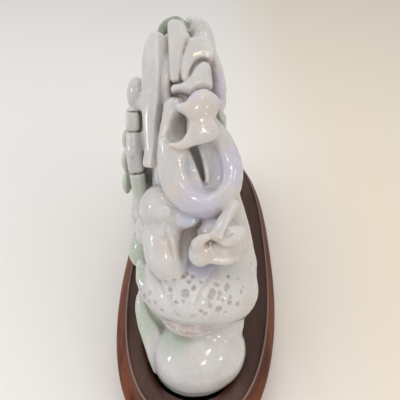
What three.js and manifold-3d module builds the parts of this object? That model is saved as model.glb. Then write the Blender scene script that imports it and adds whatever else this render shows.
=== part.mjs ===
// A carved jade dragon on a dark hardwood stand.
// Millimetres, +Z up, origin on the ground under the middle of the stand.
// +Y runs along the carving, from its coiled near end to the dragon's head. X is its thickness.
import * as THREE from "three";
import { mergeVertices } from "three/addons/utils/BufferGeometryUtils.js";
import Module from "manifold-3d";

const wasm = await Module();
wasm.setup();

// ---------- driving sizes ----------
const STAND_LENGTH = 244;
const STAND_WIDTH = 90;
const STAND_SQUARENESS = 2.55; // exponent of the oval: 2 is an ellipse, more is squarer
const STAND_SIDES = 40;
const SEAT_FLOOR = 18; // height of the recess that the jade stands in
const DISH_HEIGHT = 23.6; // height of the stand's top round the recess
const SEAT_CLEARANCE = 1.4; // the recess is this much wider than the jade's foot, all round
const REST_GAP = 0.3; // kept between the jade and the stand
const JADE_BOTTOM = SEAT_FLOOR + REST_GAP;
const FOOT_TOP = 26; // up to here the jade keeps inside its foot's outline
const FOOT_SIDES = 26;

// The foot of the jade, seen from above: one closed smooth line.
const FOOT_OUTLINE = [
  [0, -105],
  [-12, -101],
  [-20.5, -93],
  [-24, -80],
  [-25, -56],
  [-24, -20],
  [-22, 30],
  [-18, 72],
  [-6, 94],
  [8, 94],
  [18, 72],
  [21, 30],
  [22, -20],
  [23, -60],
  [23, -86],
  [14, -100],
];

// The rock, cut across at places along Y: [y, middle x, middle z, half thickness, half height].
const ROCK_SECTIONS = [
  [-86, 1, 36, 14, 16],
  [-72, -1, 52, 17, 32],
  [-58, -3, 66, 17, 46],
  [-44, -6, 78, 16, 59],
  [-28, -8, 84, 16, 65],
  [-8, -8, 77, 15, 58],
  [16, -7, 74, 15, 55],
  [40, -6, 71, 15, 52],
  [62, -4, 62, 15, 43],
  [80, -1, 49, 14, 30],
  [93, 0, 37, 9, 16],
];
const ROCK_LEAN = 0.17; // the rock leans to -X by this much of its height
const ROCK_SQUARENESS = 2.5;

// ---------- small tools ----------
const vec = (p) => new THREE.Vector3(...p);

const lerpList = (list, u) => {
  const at = u * (list.length - 1);
  const low = Math.min(Math.floor(at), list.length - 2);
  return THREE.MathUtils.lerp(list[low], list[low + 1], at - low);
};

// The point of a squared ellipse at an angle from its upper axis.
const ovalPoint = (angle, acrossHalf, upHalf, squareness) => {
  const s = Math.sin(angle);
  const c = Math.cos(angle);
  const power = 2 / squareness;
  return [
    acrossHalf * Math.sign(s) * Math.abs(s) ** power,
    upHalf * Math.sign(c) * Math.abs(c) ** power,
  ];
};

// A closed three.js geometry as a manifold-3d solid.
function solid(geometry) {
  const g = geometry.clone();
  g.deleteAttribute("normal");
  g.deleteAttribute("uv");
  const merged = mergeVertices(g, 1e-4);
  return new wasm.Manifold(
    new wasm.Mesh({
      numProp: 3,
      vertProperties: new Float32Array(merged.attributes.position.array),
      triVerts: new Uint32Array(merged.index.array),
    }),
  );
}

function geometryOf(body) {
  const mesh = body.getMesh();
  const g = new THREE.BufferGeometry();
  g.setAttribute("position", new THREE.BufferAttribute(mesh.vertProperties, 3));
  g.setIndex(new THREE.BufferAttribute(mesh.triVerts, 1));
  g.computeVertexNormals();
  return g;
}

const join = (bodies) => bodies.reduce((sum, body) => sum.add(body));

// A ball whose rings of points are put anywhere: place(row, angle) gives each point. The first and
// last rows are single points.
function ringBody(rows, sides, place) {
  const g = new THREE.SphereGeometry(1, sides, rows - 1);
  const positions = g.attributes.position;
  for (let i = 0; i < positions.count; i++) {
    const row = Math.floor(i / (sides + 1));
    const angle = (2 * Math.PI * (i % (sides + 1))) / sides;
    positions.setXYZ(i, ...place(row, angle));
  }
  return solid(g);
}

// A round boss: an ellipsoid, turned by degrees about X, Y and Z.
function boss(centre, radii, turn = [0, 0, 0], sides = 8) {
  const g = new THREE.SphereGeometry(1, sides, Math.max(5, Math.round(sides * 0.6)));
  g.scale(...radii);
  const angles = turn.map(THREE.MathUtils.degToRad);
  g.applyMatrix4(new THREE.Matrix4().makeRotationFromEuler(new THREE.Euler(...angles)));
  g.translate(...centre);
  return solid(g);
}

// A limb: a ball drawn out along a smooth path, with half-widths `wide` across it and half-thicknesses
// `thick` along `face`. It serves as a tube, a leaf or a ribbon, and its ends are round. The flats of
// its rings lie as far inside the true round as the corners lie outside it.
function limb(points, wide, thick = wide, face = [0, -1, 0], sides = 7, steps = points.length + 1) {
  const curve = new THREE.CatmullRomCurve3(points.map(vec), false, "centripetal");
  const facing = vec(face).normalize();
  const swell = 2 / (1 + Math.cos(Math.PI / sides));
  const rings = [];
  const ring = (u, push, scale) => {
    const along = curve.getTangent(u);
    const side = new THREE.Vector3().crossVectors(along, facing).normalize();
    const out = new THREE.Vector3().crossVectors(side, along);
    const w = lerpList(wide, u) * swell;
    const t = lerpList(thick, u) * swell;
    const centre = curve.getPoint(u).addScaledVector(along, push * Math.min(w, t));
    rings.push({ centre, side: side.multiplyScalar(w * scale), out: out.multiplyScalar(t * scale) });
  };
  ring(0, -1, 0);
  ring(0, -0.6, 0.8);
  for (let i = 1; i < steps; i++) ring(i / steps, 0, 1);
  ring(1, 0.6, 0.8);
  ring(1, 1, 0);
  return ringBody(rings.length, sides, (row, angle) => {
    const { centre, side, out } = rings[row];
    return centre
      .clone()
      .addScaledVector(side, Math.cos(angle))
      .addScaledVector(out, Math.sin(angle));
  });
}

// ---------- the jade ----------

// The rock that everything is carved on: a slab on edge.
function rock() {
  const last = ROCK_SECTIONS.length + 1;
  return ringBody(last + 1, 16, (row, angle) => {
    const [y, x, z, thick, high] = ROCK_SECTIONS[THREE.MathUtils.clamp(row - 1, 0, last - 2)];
    if (row === 0) return [x, y - 3, z];
    if (row === last) return [x, y + 3, z];
    const [across, up] = ovalPoint(-angle, thick, high, ROCK_SQUARENESS);
    return [x + across - ROCK_LEAN * up, y, z + up];
  });
}

// Rounded ledges and a boulder along the foot of the rock.
function ledges() {
  return [
    boss([2, 78, 28], [15, 17, 17]),
    boss([9, -38, 28], [13, 24, 17]),
    boss([8, 58, 26], [12, 20, 12], [0, 0, 0], 7),
    boss([-14, -6, 26], [10, 30, 11], [0, 0, 0], 7),
  ];
}

// The near end of the rock: a smooth boulder at the foot and a pitted, rounded crag that overhangs it.
function nearRock() {
  return [
    boss([-0.5, -88, 29], [18.5, 19, 17], [0, 0, 0], 12),
    boss([9, -86, 33], [14, 15, 15.5], [0, 0, 0], 10),
    boss([0, -71, 57], [26.5, 24, 18.5], [-24, 0, 0], 14),
    boss([-3, -83, 52], [13, 11.5, 6.5]),
    limb([[17, -60, 62], [12.5, -58, 80], [7.5, -54, 98]], [13, 10, 7], [9, 8, 6], [1, 0, 0]),
    limb(
      [[-18, -91, 19], [-22, -83, 28], [-26, -74, 38], [-27, -68, 45]],
      [4, 6, 6.5, 4],
      [2.4, 3.4, 3.4, 2.4],
      [-0.8, -0.5, 0.4],
    ),
  ];
}

// Round cloud bosses on the near end's -X side.
function cloudBosses() {
  return [
    boss([-17.5, -64, 94.5], [10.5, 10, 10.5], [0, 0, 0], 10),
    boss([-6.5, -66, 92.5], [10, 8, 7.5]),
    limb([[-16.5, -71, 85], [-15, -76, 79], [-12, -80, 74]], [9.5, 9, 6], undefined, [1, 0, 0], 8, 3),
    boss([-25, -57, 76], [6.5, 7, 9]),
    boss([-28.5, -52, 59], [7.5, 8, 10]),
    boss([-16, -46, 64], [16, 16, 24]),
  ];
}

// A curled fungus head on the near end's +X side, with its stem.
function fungus() {
  return [
    boss([-1, -82, 89], [4.8, 4, 6], [-20, 0, 0]),
    boss([9, -78, 86.5], [7, 5, 4.5]),
    limb(
      [[-2, -82, 94], [3, -84, 92.5], [9, -82, 91.5], [14, -79, 94], [15.5, -76, 98]],
      [2.2, 2.6, 2.8, 2.4, 1.2],
      undefined,
      undefined,
      6,
      4,
    ),
    limb([[6, -78, 95], [8, -75, 100], [11, -70, 103.5]], [1.6, 1.3, 1.3], undefined, undefined, 5),
    boss([6, -74, 90], [9, 5.5, 8]),
  ];
}

// The dragon's body where it coils over the near end, and the ribbon folds that cross it.
function coil() {
  const path = [
    [-15, -56, 135],
    [-14.8, -61, 124],
    [-13.8, -65, 113],
    [-8.5, -68, 105],
    [0, -69, 102.6],
    [6, -66, 107],
    [6.8, -62, 115],
    [3, -58, 122],
    [-2, -54, 127],
  ];
  return [
    limb(path, [4.5, 6.2, 6.4, 6.4, 6.2, 6, 6, 5.4, 5], undefined, undefined, 8, 11),
    limb([[-5.4, -54, 118], [-3.2, -56, 112], [-2, -58, 107]], [2, 2.2, 1.8], undefined, undefined, 5),
    limb([[-4, -60, 136], [-6, -63, 130.5], [-8, -65.5, 127]], [3.6, 5, 8], [3, 2.6, 2]),
    limb([[-5, -65, 128], [-11, -66.5, 126.5], [-16, -67, 125]], [3.6, 3, 1.2], [2.4, 2.2, 1.2]),
    limb([[-2, -57, 141], [-7, -61, 140], [-13.5, -63.5, 139.5]], [6, 5.6, 1.4], [4, 4, 1.4]),
    limb([[-5, -46, 149], [-8.5, -51, 145.5], [-13, -54, 144], [-17, -55.5, 143.5]], [4.6, 4.8, 3, 1.5]),
  ];
}

// The flaring tail on the crest: a long blade, two petals, a hood, a ridge and a small pointed leaf.
function tail() {
  return [
    limb(
      [[-26.5, -37, 156], [-26, -42, 145], [-25.5, -49, 132], [-24.5, -57, 116]],
      [3, 4.2, 3.8, 2.6],
      [5, 8, 8, 5],
    ),
    limb(
      [[-17.8, -35, 159.5], [-16.8, -38, 155], [-16.5, -44, 150], [-15.8, -50, 144.5]],
      [4.2, 4.4, 2.6, 1.3],
      [4, 6, 5, 3],
    ),
    limb(
      [[-7, -36, 154.5], [-10, -40, 152.5], [-12, -45, 149], [-13, -50, 145]],
      [4, 4.2, 2.9, 1.2],
      [5, 5, 4, 2],
    ),
    limb(
      [[-24, -28, 155], [-21.5, -28, 159.5], [-18, -27, 160.5], [-14, -25, 158.5]],
      [2.2, 2.4, 2.2, 2],
      [4, 4, 4, 4],
    ),
    limb(
      [[-13, -22, 158], [-9.5, -22, 155], [-7, -27, 149.5], [-3.5, -34, 141], [-1.5, -42, 131]],
      [3, 3.6, 4, 3.5, 2.4],
      [5, 6, 6, 4.5, 3],
      [1, 0, 0.6],
    ),
    limb([[1.4, -42, 130.5], [3.2, -42, 127], [4.6, -42, 123.5]], [1, 2.6, 1], [1, 2, 1], [1, 0, 0], 5),
  ];
}

// One length of a bamboo culm, between two joints.
const culm = (low, high, radius) => limb([low, high], [radius, radius], undefined, undefined, 6, 1);

// A pointed leaf laid on the rock's -X face.
const leaf = (points, wide) => limb(points, [1, wide, wide * 0.8, 0.8], [1, 2.2, 2, 0.8], [-1, 0, 0.1], 5, 3);

// Bamboo and its leaves on the -X side.
function bamboo() {
  return [
    culm([-31.3, -42, 76], [-34.3, -35, 97], 3.6),
    culm([-35.2, -33, 102], [-35.6, -28, 116], 3.6),
    boss([-36.5, -24, 125.5], [5, 5, 7.5]),
    limb(
      [[-39, -26, 107], [-40, -28, 96], [-39, -31, 86], [-37, -34, 77]],
      [2, 4.4, 4, 1.4],
      [1.6, 2.6, 2.4, 1],
      [-1, -0.4, 0],
      6,
    ),
    limb([[-30, -40, 98], [-30, -43, 88], [-30, -48, 76]], [2.4, 2.6, 1.6], [2, 2.4, 1.4], undefined, 6),
    boss([-28, -28, 100], [12, 14, 32]),
    culm([-20, 2, 30], [-24, -6, 66], 4.2),
    culm([-24.5, -7, 68], [-29, -12, 98], 3.8),
    culm([-18, 26, 28], [-21.5, 22, 60], 4.4),
    culm([-22, 21.5, 62], [-25.5, 16, 92], 4),
    culm([-26, 15.5, 94], [-28, 11, 116], 3.4),
    leaf([[-28, 8, 104], [-29, 0, 108], [-29.5, -8, 108], [-29, -15, 104]], 4.4),
    leaf([[-27, 14, 88], [-26, 24, 92], [-25.5, 34, 92], [-24.5, 43, 88]], 4.6),
    leaf([[-25, 20, 76], [-24, 30, 75], [-23.5, 40, 71], [-22, 48, 64]], 4.4),
    leaf([[-27, 8, 118], [-26, 18, 122], [-25.5, 28, 122], [-24, 37, 118]], 4.4),
  ];
}

// The dragon's body along the +X side, from the neck over the crest and down to the coil.
function dragonBody() {
  const path = [
    [-13, 50, 123],
    [-14, 28, 135],
    [-10, 6, 132],
    [-5, -8, 115],
    [-1, 0, 96],
    [0, 24, 84],
    [3.5, 46, 70],
    [9, 50, 52],
    [13, 30, 40],
    [15, 2, 40],
    [14, -22, 52],
    [11, -42, 70],
    [8, -54, 88],
  ];
  return [limb(path, [9, 9.5, 9.5, 9.5, 9.5, 9.5, 9.2, 9, 9, 9, 8.4, 8, 7], undefined, [1, 0, 0.05], 7, 21)];
}

// A leg: thigh, shin and a foot of three claws that point along `reach`.
function leg(hip, knee, ankle, reach) {
  const parts = [
    limb([hip, knee], [5.4, 3.6], undefined, [1, 0, 0], 6, 1),
    limb([knee, ankle], [3.6, 2.8], undefined, [1, 0, 0], 6, 1),
  ];
  const forward = vec(reach).normalize();
  const spread = new THREE.Vector3(1, 0, 0).cross(forward);
  for (const step of [-1, 0, 1]) {
    const at = (run, fan, lift) =>
      vec(ankle)
        .addScaledVector(forward, run)
        .addScaledVector(spread, step * fan)
        .add(vec([lift, 0, 0]))
        .toArray();
    const claw = [at(0, 1, 0), at(5, 4.5, 1.6), at(10, 6.5, -1)];
    parts.push(limb(claw, [2.4, 2, 0.7], undefined, [1, 0, 0], 5, 2));
  }
  return parts;
}

function legs() {
  return [
    ...leg([-1, -2, 112], [3, 12, 112], [-1, 22, 104], [0, 1, -0.3]),
    ...leg([13, -16, 52], [14, -6, 64], [11, -18, 72], [0, -0.6, 1]),
  ];
}

// The dragon's head at the far end of the crest, looking along +Y.
function dragonHead() {
  const x = -13;
  const bodies = [
    boss([x, 55, 120], [11.5, 14, 12], [-18, 0, 0]),
    boss([x, 73, 113], [8.6, 16, 6.8], [-18, 0, 0]),
    boss([x, 85, 111], [7.6, 5.5, 4.8], [0, 0, 0], 6),
    boss([x, 68, 100], [6.6, 15, 4.2], [-26, 0, 0], 6),
    boss([x, 52, 108], [10, 12, 13]),
  ];
  for (const side of [-1, 1]) {
    const at = ([across, y, z]) => [x + side * across, y, z];
    bodies.push(
      boss(at([7.5, 63, 124]), [4.2, 5.6, 4.2], [0, 0, 0], 6),
      limb([[5, 54, 129], [7, 40, 135], [7.5, 26, 136]].map(at), [2.6, 2.2, 1], undefined, [1, 0, 0], 5, 3),
      limb([[9, 51, 118], [13, 41, 117], [14, 31, 121]].map(at), [4, 4, 1.2], [2.4, 2.2, 1], [0, 0, 1], 5, 2),
      limb([[9, 49, 108], [13, 39, 103], [14, 28, 106]].map(at), [4, 4, 1.4], [2.4, 2.4, 1], [0, 0, 1], 5, 2),
    );
  }
  return bodies;
}

// A cloud on a broad face: two lobes on a long one. `face` is +1 or -1 for the +X or -X side.
function cloud(face, [x, y, z], size) {
  const out = face * size * 0.12;
  return [
    boss([x, y, z], [size * 0.55, size * 1.3, size * 0.6], [0, 0, 0], 7),
    boss([x + out, y - size * 0.4, z + size * 0.5], [size * 0.5, size * 0.7, size * 0.7], [0, 0, 0], 7),
    boss([x + out, y + size * 0.5, z + size * 0.3], [size * 0.45, size * 0.6, size * 0.6], [0, 0, 0], 6),
  ];
}

function clouds() {
  return [
    ...cloud(1, [2, 64, 88], 12),
    ...cloud(1, [9, 74, 44], 13),
    ...cloud(1, [9, 16, 60], 11),
    ...cloud(-1, [-20, 64, 82], 12),
    ...cloud(-1, [-17, 60, 44], 14),
  ];
}

function jade() {
  const scenery = [ledges, nearRock, cloudBosses, fungus, bamboo, clouds];
  const dragon = [coil, tail, dragonBody, legs, dragonHead];
  const carved = join([rock(), ...[...scenery, ...dragon].flatMap((make) => make())]);
  return carved.subtract(outsideFoot());
}

// ---------- the stand ----------

function footShape(grow) {
  const corners = [...FOOT_OUTLINE, FOOT_OUTLINE[0]].map(([x, y]) => new THREE.Vector2(x, y));
  const line = new THREE.SplineCurve(corners).getPoints(FOOT_SIDES);
  line.pop();
  const grown = line.map((p) => {
    const away = new THREE.Vector2(p.x, p.y * 0.25).normalize();
    return p.clone().addScaledVector(away, grow);
  });
  return new THREE.Shape(grown);
}

const prism = (shape, low, high) => {
  const g = new THREE.ExtrudeGeometry(shape, { depth: high - low, bevelEnabled: false, steps: 1 });
  g.translate(0, 0, low);
  return solid(g);
};

// Everything below FOOT_TOP that isn't inside the foot's outline.
function outsideFoot() {
  const far = 200;
  const g = new THREE.BoxGeometry(2 * far, 2 * far, far + FOOT_TOP);
  g.translate(0, 0, (FOOT_TOP - far) / 2);
  return solid(g).subtract(prism(footShape(0), JADE_BOTTOM, FOOT_TOP + 1));
}

// The stand's section: [distance in from the widest outline, height], from the underside up and in.
const STAND_PROFILE = [
  [6, 0],
  [4.2, 1.5],
  [4.2, 4],
  [6.6, 6.2],
  [3.2, 9],
  [0.4, 13],
  [0, 16.5],
  [1.4, 20.5],
  [4, 24.6],
  [5.6, 26],
  [7.2, 26],
  [8.4, 24.9],
  [16, 23.9],
];

function stand() {
  const half = STAND_WIDTH / 2;
  const profile = [[half, 0], ...STAND_PROFILE, [half, DISH_HEIGHT]];
  const flat = profile.map(([inset, z]) => new THREE.Vector2(half - inset, z));
  const g = new THREE.LatheGeometry(flat, STAND_SIDES);
  const positions = g.attributes.position;
  for (let i = 0; i < positions.count; i++) {
    const [inset, z] = profile[i % profile.length];
    const angle = (-2 * Math.PI * Math.floor(i / profile.length)) / STAND_SIDES;
    const onAxis = inset === half;
    const across = onAxis ? 0 : half - inset;
    const along = onAxis ? 0 : STAND_LENGTH / 2 - inset;
    const [x, y] = ovalPoint(angle, across, along, STAND_SQUARENESS);
    positions.setXYZ(i, x, y, z);
  }
  return solid(g).subtract(prism(footShape(SEAT_CLEARANCE), SEAT_FLOOR, 40));
}

// ---------- the object ----------
const jadeStone = new THREE.MeshStandardMaterial({ color: 0xd3d0d4, roughness: 0.2, metalness: 0 });
const darkWood = new THREE.MeshStandardMaterial({ color: 0x3b2523, roughness: 0.28, metalness: 0 });

const carving = new THREE.Group();
for (const [name, body, material] of [
  ["jade_carving", jade(), jadeStone],
  ["wood_stand", stand(), darkWood],
]) {
  const mesh = new THREE.Mesh(geometryOf(body), material);
  mesh.name = name;
  carving.add(mesh);
}

export default carving;
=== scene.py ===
"""A carved jade dragon on a dark hardwood stand: the finish of every surface.

The carving is modelled as a field of distances to its surface, built from the same bosses and limbs as
the part's solid, blended and carved in more detail, and then skinned. Carving lengths are millimetres
in the part's own frame; Blender objects are metres.
"""

import math

import bpy
import numpy as np
from mathutils import Matrix, Vector


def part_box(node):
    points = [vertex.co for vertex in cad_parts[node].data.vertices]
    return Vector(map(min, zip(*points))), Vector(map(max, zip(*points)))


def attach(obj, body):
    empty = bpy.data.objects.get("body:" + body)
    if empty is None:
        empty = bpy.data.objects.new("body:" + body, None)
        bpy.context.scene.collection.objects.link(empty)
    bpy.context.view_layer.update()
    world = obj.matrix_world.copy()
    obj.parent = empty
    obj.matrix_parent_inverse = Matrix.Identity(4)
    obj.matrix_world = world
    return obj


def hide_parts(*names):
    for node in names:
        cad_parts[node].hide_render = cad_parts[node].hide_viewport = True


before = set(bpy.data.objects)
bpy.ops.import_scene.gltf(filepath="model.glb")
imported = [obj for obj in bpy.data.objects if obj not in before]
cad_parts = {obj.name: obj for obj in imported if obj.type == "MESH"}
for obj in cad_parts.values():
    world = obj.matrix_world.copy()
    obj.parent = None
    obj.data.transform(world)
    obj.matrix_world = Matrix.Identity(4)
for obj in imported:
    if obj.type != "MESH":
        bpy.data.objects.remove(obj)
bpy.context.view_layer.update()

MM = 0.001

# ---------- driving sizes, as in the part ----------
SEAT_FLOOR = 18.0
REST_GAP = 0.3
JADE_BOTTOM = SEAT_FLOOR + REST_GAP
FOOT_TOP = 26.0
SEAT_CLEARANCE = 1.4
STAND_SQUARENESS = 2.55

FOOT_OUTLINE = [
    (0, -105), (-12, -101), (-20.5, -93), (-24, -80), (-25, -56), (-24, -20), (-22, 30), (-18, 72),
    (-6, 94), (8, 94), (18, 72), (21, 30), (22, -20), (23, -60), (23, -86), (14, -100),
]

# The rock, cut across at places along Y: (y, middle x, middle z, half thickness, half height).
ROCK_SECTIONS = [
    (-86, 1, 36, 14, 16), (-72, -1, 52, 17, 32), (-58, -3, 66, 17, 46), (-44, -6, 78, 16, 59),
    (-28, -8, 84, 16, 65), (-8, -8, 77, 15, 58), (16, -7, 74, 15, 55), (40, -6, 71, 15, 52),
    (62, -4, 62, 15, 43), (80, -1, 49, 14, 30), (93, 0, 37, 9, 16),
]
ROCK_LEAN = 0.17
ROCK_SQUARENESS = 2.5
ROCK_HOLLOWS = 2.2        # mm: how deep the rock's broad hollows are
ROCK_WEAR = 0.5           # mm: the smaller waves between them
HAND_WEAR = 0.12          # mm: how far hand polishing wanders all over
COIL_SCALES = 0.45        # mm: how far the scales stand up on the coil
BODY_SCALES = 0.75        # mm: and on the body

DRAGON_PATH = [
    [-13, 50, 123], [-14, 28, 135], [-10, 6, 132], [-5, -8, 115], [-1, 0, 96], [0, 24, 84], [3.5, 46, 70],
    [9, 50, 52], [13, 30, 40], [15, 2, 40], [14, -22, 52], [11, -42, 70], [8, -54, 88],
]
DRAGON_RADII = [9, 9.5, 9.5, 9.5, 9.5, 9.5, 9.2, 9, 9, 9, 8.4, 8, 7]
FIRST_FIN = 10            # mm along the path from its start
LAST_FIN = 12             # mm short of its end
FIN_SPACING = 6.5         # mm
HEAD_X = -13

# Bamboo culms: (low end, high end, radius). Leaves: (points along the middle, half-width).
CULMS = [
    ([-28.5, -50, 80], [-33.3, -42.6, 104.6], 3.7), ([-33.9, -41.4, 107.4], [-35, -36.4, 121.5], 3.3),
    ([-20, 2, 30], [-24, -6, 66], 4.2), ([-24.5, -7, 68], [-29, -12, 98], 3.8),
    ([-18, 26, 28], [-21.5, 22, 60], 4.4), ([-22, 21.5, 62], [-25.5, 16, 92], 4),
    ([-26, 15.5, 94], [-28, 11, 116], 3.4),
]
LEAVES = [
    ([[-28, 8, 104], [-29, 0, 108], [-29.5, -8, 108], [-29, -15, 104]], 4.4),
    ([[-27, 14, 88], [-26, 24, 92], [-25.5, 34, 92], [-24.5, 43, 88]], 4.6),
    ([[-25, 20, 76], [-24, 30, 75], [-23.5, 40, 71], [-22, 48, 64]], 4.4),
    ([[-27, 8, 118], [-26, 18, 122], [-25.5, 28, 122], [-24, 37, 118]], 4.4),
]

# Clouds on the broad sides: (+1 or -1 for the +X or -X side, centre, size).
CLOUDS = [
    (1, [2, 64, 88], 12), (1, [9, 74, 44], 13), (1, [9, 16, 60], 11), (-1, [-20, 64, 82], 12),
    (-1, [-17, 60, 44], 14),
]

# Outlines of the blades, petals, flaps, cap and low leaf, in mm across and up from each one's own corner.
# Their points were picked by eye along the contours in the photo, and a scratch script worked them out in mm.
BLADE_LEFT = [
    (-1.9, 50.6), (0, 48.7), (0.6, 41.2), (0.9, 32.2), (0.9, 24.9), (0, 15.6), (-0.4, 6.9), (-1, 2.2),
    (-0.9, -0.5), (-2.4, -0.6), (-3.1, 3.6), (-4.8, 13.5), (-6.2, 24.8), (-6.7, 34.1), (-6.3, 43.2),
    (-4.3, 48.2),
]
BLADE_RIGHT = [
    (-0.5, 48.6), (0.9, 49.6), (4.3, 48.5), (6.1, 40.4), (6.9, 29.4), (5.6, 23.6), (3.5, 15.8), (3.1, 7),
    (3, -0.4), (-1, -0.4), (-0.4, 6.9), (0.5, 16.7), (1, 25), (0.3, 35.9),
]
CENTRE_OUTLINE = [
    (-3.1, 21.6), (-1.6, 22.5), (1.2, 22.1), (2.7, 21), (3.5, 19), (4.7, 15.7), (3.5, 13.6),
    (2.7, 10.8), (2, 6.5), (1.6, 1.8), (1.2, -0.1), (-1.2, -0.7), (-2, 0.1), (-2.6, 3.8), (-2.8, 9.3),
    (-3.1, 14.8), (-3.3, 19.2),
]
RIGHT_OUTLINE = [
    (-3.4, 15.2), (-0.1, 17), (2.5, 17.7), (5.1, 15.8), (6.9, 12.8), (6.3, 10.2), (4, 9.8), (2.1, 8.7),
    (1.2, 6.8), (0.8, 4.3), (0.9, 1.9), (0.5, -0.2), (-0.9, -0.7), (-2.1, 1.6), (-3.1, 5.3),
    (-3.6, 9.1), (-3.7, 12.7),
]
KNUCKLE_OUTLINE = [
    (0.7, 14.5), (3.3, 14.7), (6.4, 12), (8.9, 8.9), (7.3, 6.2), (5.7, 4), (4.9, 1.5), (2.7, 0.7),
    (0.5, -0.1), (-1.3, -1.9), (-2.8, -1.2), (-3.1, 0.4), (-1.2, 2.7), (-0.1, 5.5), (-0.1, 7.8),
    (-0.5, 10.7),
]
LOBE_OUTLINE = [
    (-1.2, 11.3), (0.8, 12.2), (2.9, 11.6), (4.2, 9.1), (4.9, 6.3), (4.3, 3.9), (3.1, 1.9), (1.5, 0.2),
    (-0.7, -0.3), (-3.8, 0.9), (-5.8, 1.2), (-7.1, 2.2), (-7.4, 3.4), (-6, 4.9), (-4.7, 6.5), (-3.7, 8),
    (-2.9, 9.8),
]
FAN_OUTLINE = [
    (-3, 10.8), (-0.6, 13.6), (1.4, 14.4), (4.3, 13.1), (7.2, 10.6), (8.0, 8.4), (6.8, 5.9), (4.1, 3.5),
    (1.3, 1.7), (-0.7, -0.1), (-3.3, -1.7), (-5.5, -1.9), (-7.4, -1.7), (-7.9, -0.8), (-5.7, 0.5), (-4, 2.3),
    (-3.4, 4.9), (-3.3, 7.6),
]

CAP_OUTLINE = [
    (-6.6, 4), (-4.5, 5.2), (-1.8, 5.4), (-0.6, 7.2), (1.5, 8.4), (3.7, 9.2), (6, 9.3), (7.7, 8.5),
    (8.1, 6.6), (7.3, 4.5), (5.8, 2.3), (3.7, 0.8), (1.5, 0.1), (-1, 1), (-3.1, 2), (-5.1, 2.4),
]

LOW_LEAF_OUTLINE = [
    (0, 38.4), (-2.7, 35.2), (-4.4, 30.3), (-4.8, 25.8), (-4.6, 20.7), (-3.9, 16), (-3, 10.5), (-2.1, 5.1),
    (-1.1, 1), (0, -0.2), (1.4, 0.5), (3, 4.8), (4.4, 9.9), (6, 14.9), (6.2, 17.9), (4.9, 21.4), (3.1, 25.3),
    (1.9, 29.6), (1.4, 34.8),
]

# Drilled pits in the swollen rock: (x, y, z, radius). Their places were picked by eye on the photo, and a
# scratch script dropped them on the carved surface.
PITS = [
    (-6, -89, 71, 1.5), (-12.3, -86.7, 70.3, 0.9), (-11.6, -88.9, 68.4, 0.8), (-10.9, -85.8, 74.4, 0.8),
    (-14.1, -85.5, 73.2, 0.8), (-9.4, -90.8, 67.2, 0.9), (-6.6, -91, 68.5, 0.7), (-4.9, -84.9, 74.1, 0.8),
    (-7.1, -83.3, 75.1, 1.0), (-3.4, -82.8, 75.1, 0.9), (-6, -81.6, 75.3, 0.7), (-2.6, -87.4, 73, 1.0),
    (0, -85.1, 74.3, 0.7), (6.5, -85, 73.8, 0.9), (11.1, -84.4, 72.5, 1.1), (10.4, -85.7, 72, 0.8),
    (5.1, -87.9, 72.1, 1.2), (4.4, -89.5, 70.9, 1.1), (8, -87.7, 71.6, 0.9), (7.7, -89.2, 70.3, 0.7),
    (12.4, -89.1, 67.7, 0.9), (12.6, -87.4, 69.5, 0.7), (15.9, -87.8, 66.1, 0.8), (8.1, -91.9, 66.3, 1.2),
    (4.3, -91.7, 68.1, 0.9), (2.6, -93.4, 65, 0.8), (0.9, -93.1, 66, 0.8), (10.7, -91.6, 64.4, 0.7),
    (3.7, -90.7, 69.8, 0.6), (9.4, -89.3, 69.4, 0.6), (-18.3, -87.4, 62.2, 0.8), (-15.1, -90, 60.7, 0.8),
    (-21.2, -84.8, 59.6, 0.7), (-20.5, -84, 64.9, 0.6), (15.4, -79.2, 72.2, 0.6), (11, -80.3, 74.1, 0.8),
    (-3.6, -94.4, 52.9, 0.6), (-9.6, -92.5, 53.7, 0.6),
]

# ---------- sizes of the skin ----------
GRID_STEP = 0.6           # mm, across and up
NEAR_STEP = 0.55          # mm, along Y over the near end
FAR_STEP = 0.8            # mm, along Y over the rest
NEAR_END = -40.0          # where one step gives way to the other
MARGIN = 5.0              # mm of valid distances kept round every shape
FAR_AWAY = 20.0           # distance where there is no stone near
MOST_TRIANGLES = 190_000
GRID_LOW = (-47, -110, 16)
GRID_HIGH = (31, 99, 167)
STRIKE_REACH = 70.0       # mm a straight line is followed to the stone
HOLLOW_SPACING = 13.0     # mm between the rock's broad hollows
WEAR_SPACING = 6.0        # mm between the smaller waves
HAND_SPACING = 5.0        # mm between the waves that polishing leaves
HOLLOW_REACHES = (1.2, 2.5, 4.0, 6.5)   # mm out from a point, where it is felt how shut in it is

# ---------- pits scattered by chance ----------
BELLY_PITS = 60
BELLY_PIT_Y = (-84, -62)
BELLY_PIT_Z = (46, 70)
BELLY_PIT_RADII = (0.5, 1.1)
DRIFTS = ((-20, 40, 1), (40, 34, 1), (70, 62, -1), (0, 44, -1), (30, 36, -1), (84, 40, 1))
DRIFT_PITS = 16
DRIFT_SPREAD_Y = 8        # mm
DRIFT_SPREAD_Z = 6        # mm
DRIFT_PIT_RADII = (0.7, 1.5)
PIT_STRETCH = (0.8, 1.25)
PIT_TURN = 40             # degrees either way

rng = np.random.default_rng(7)


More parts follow.
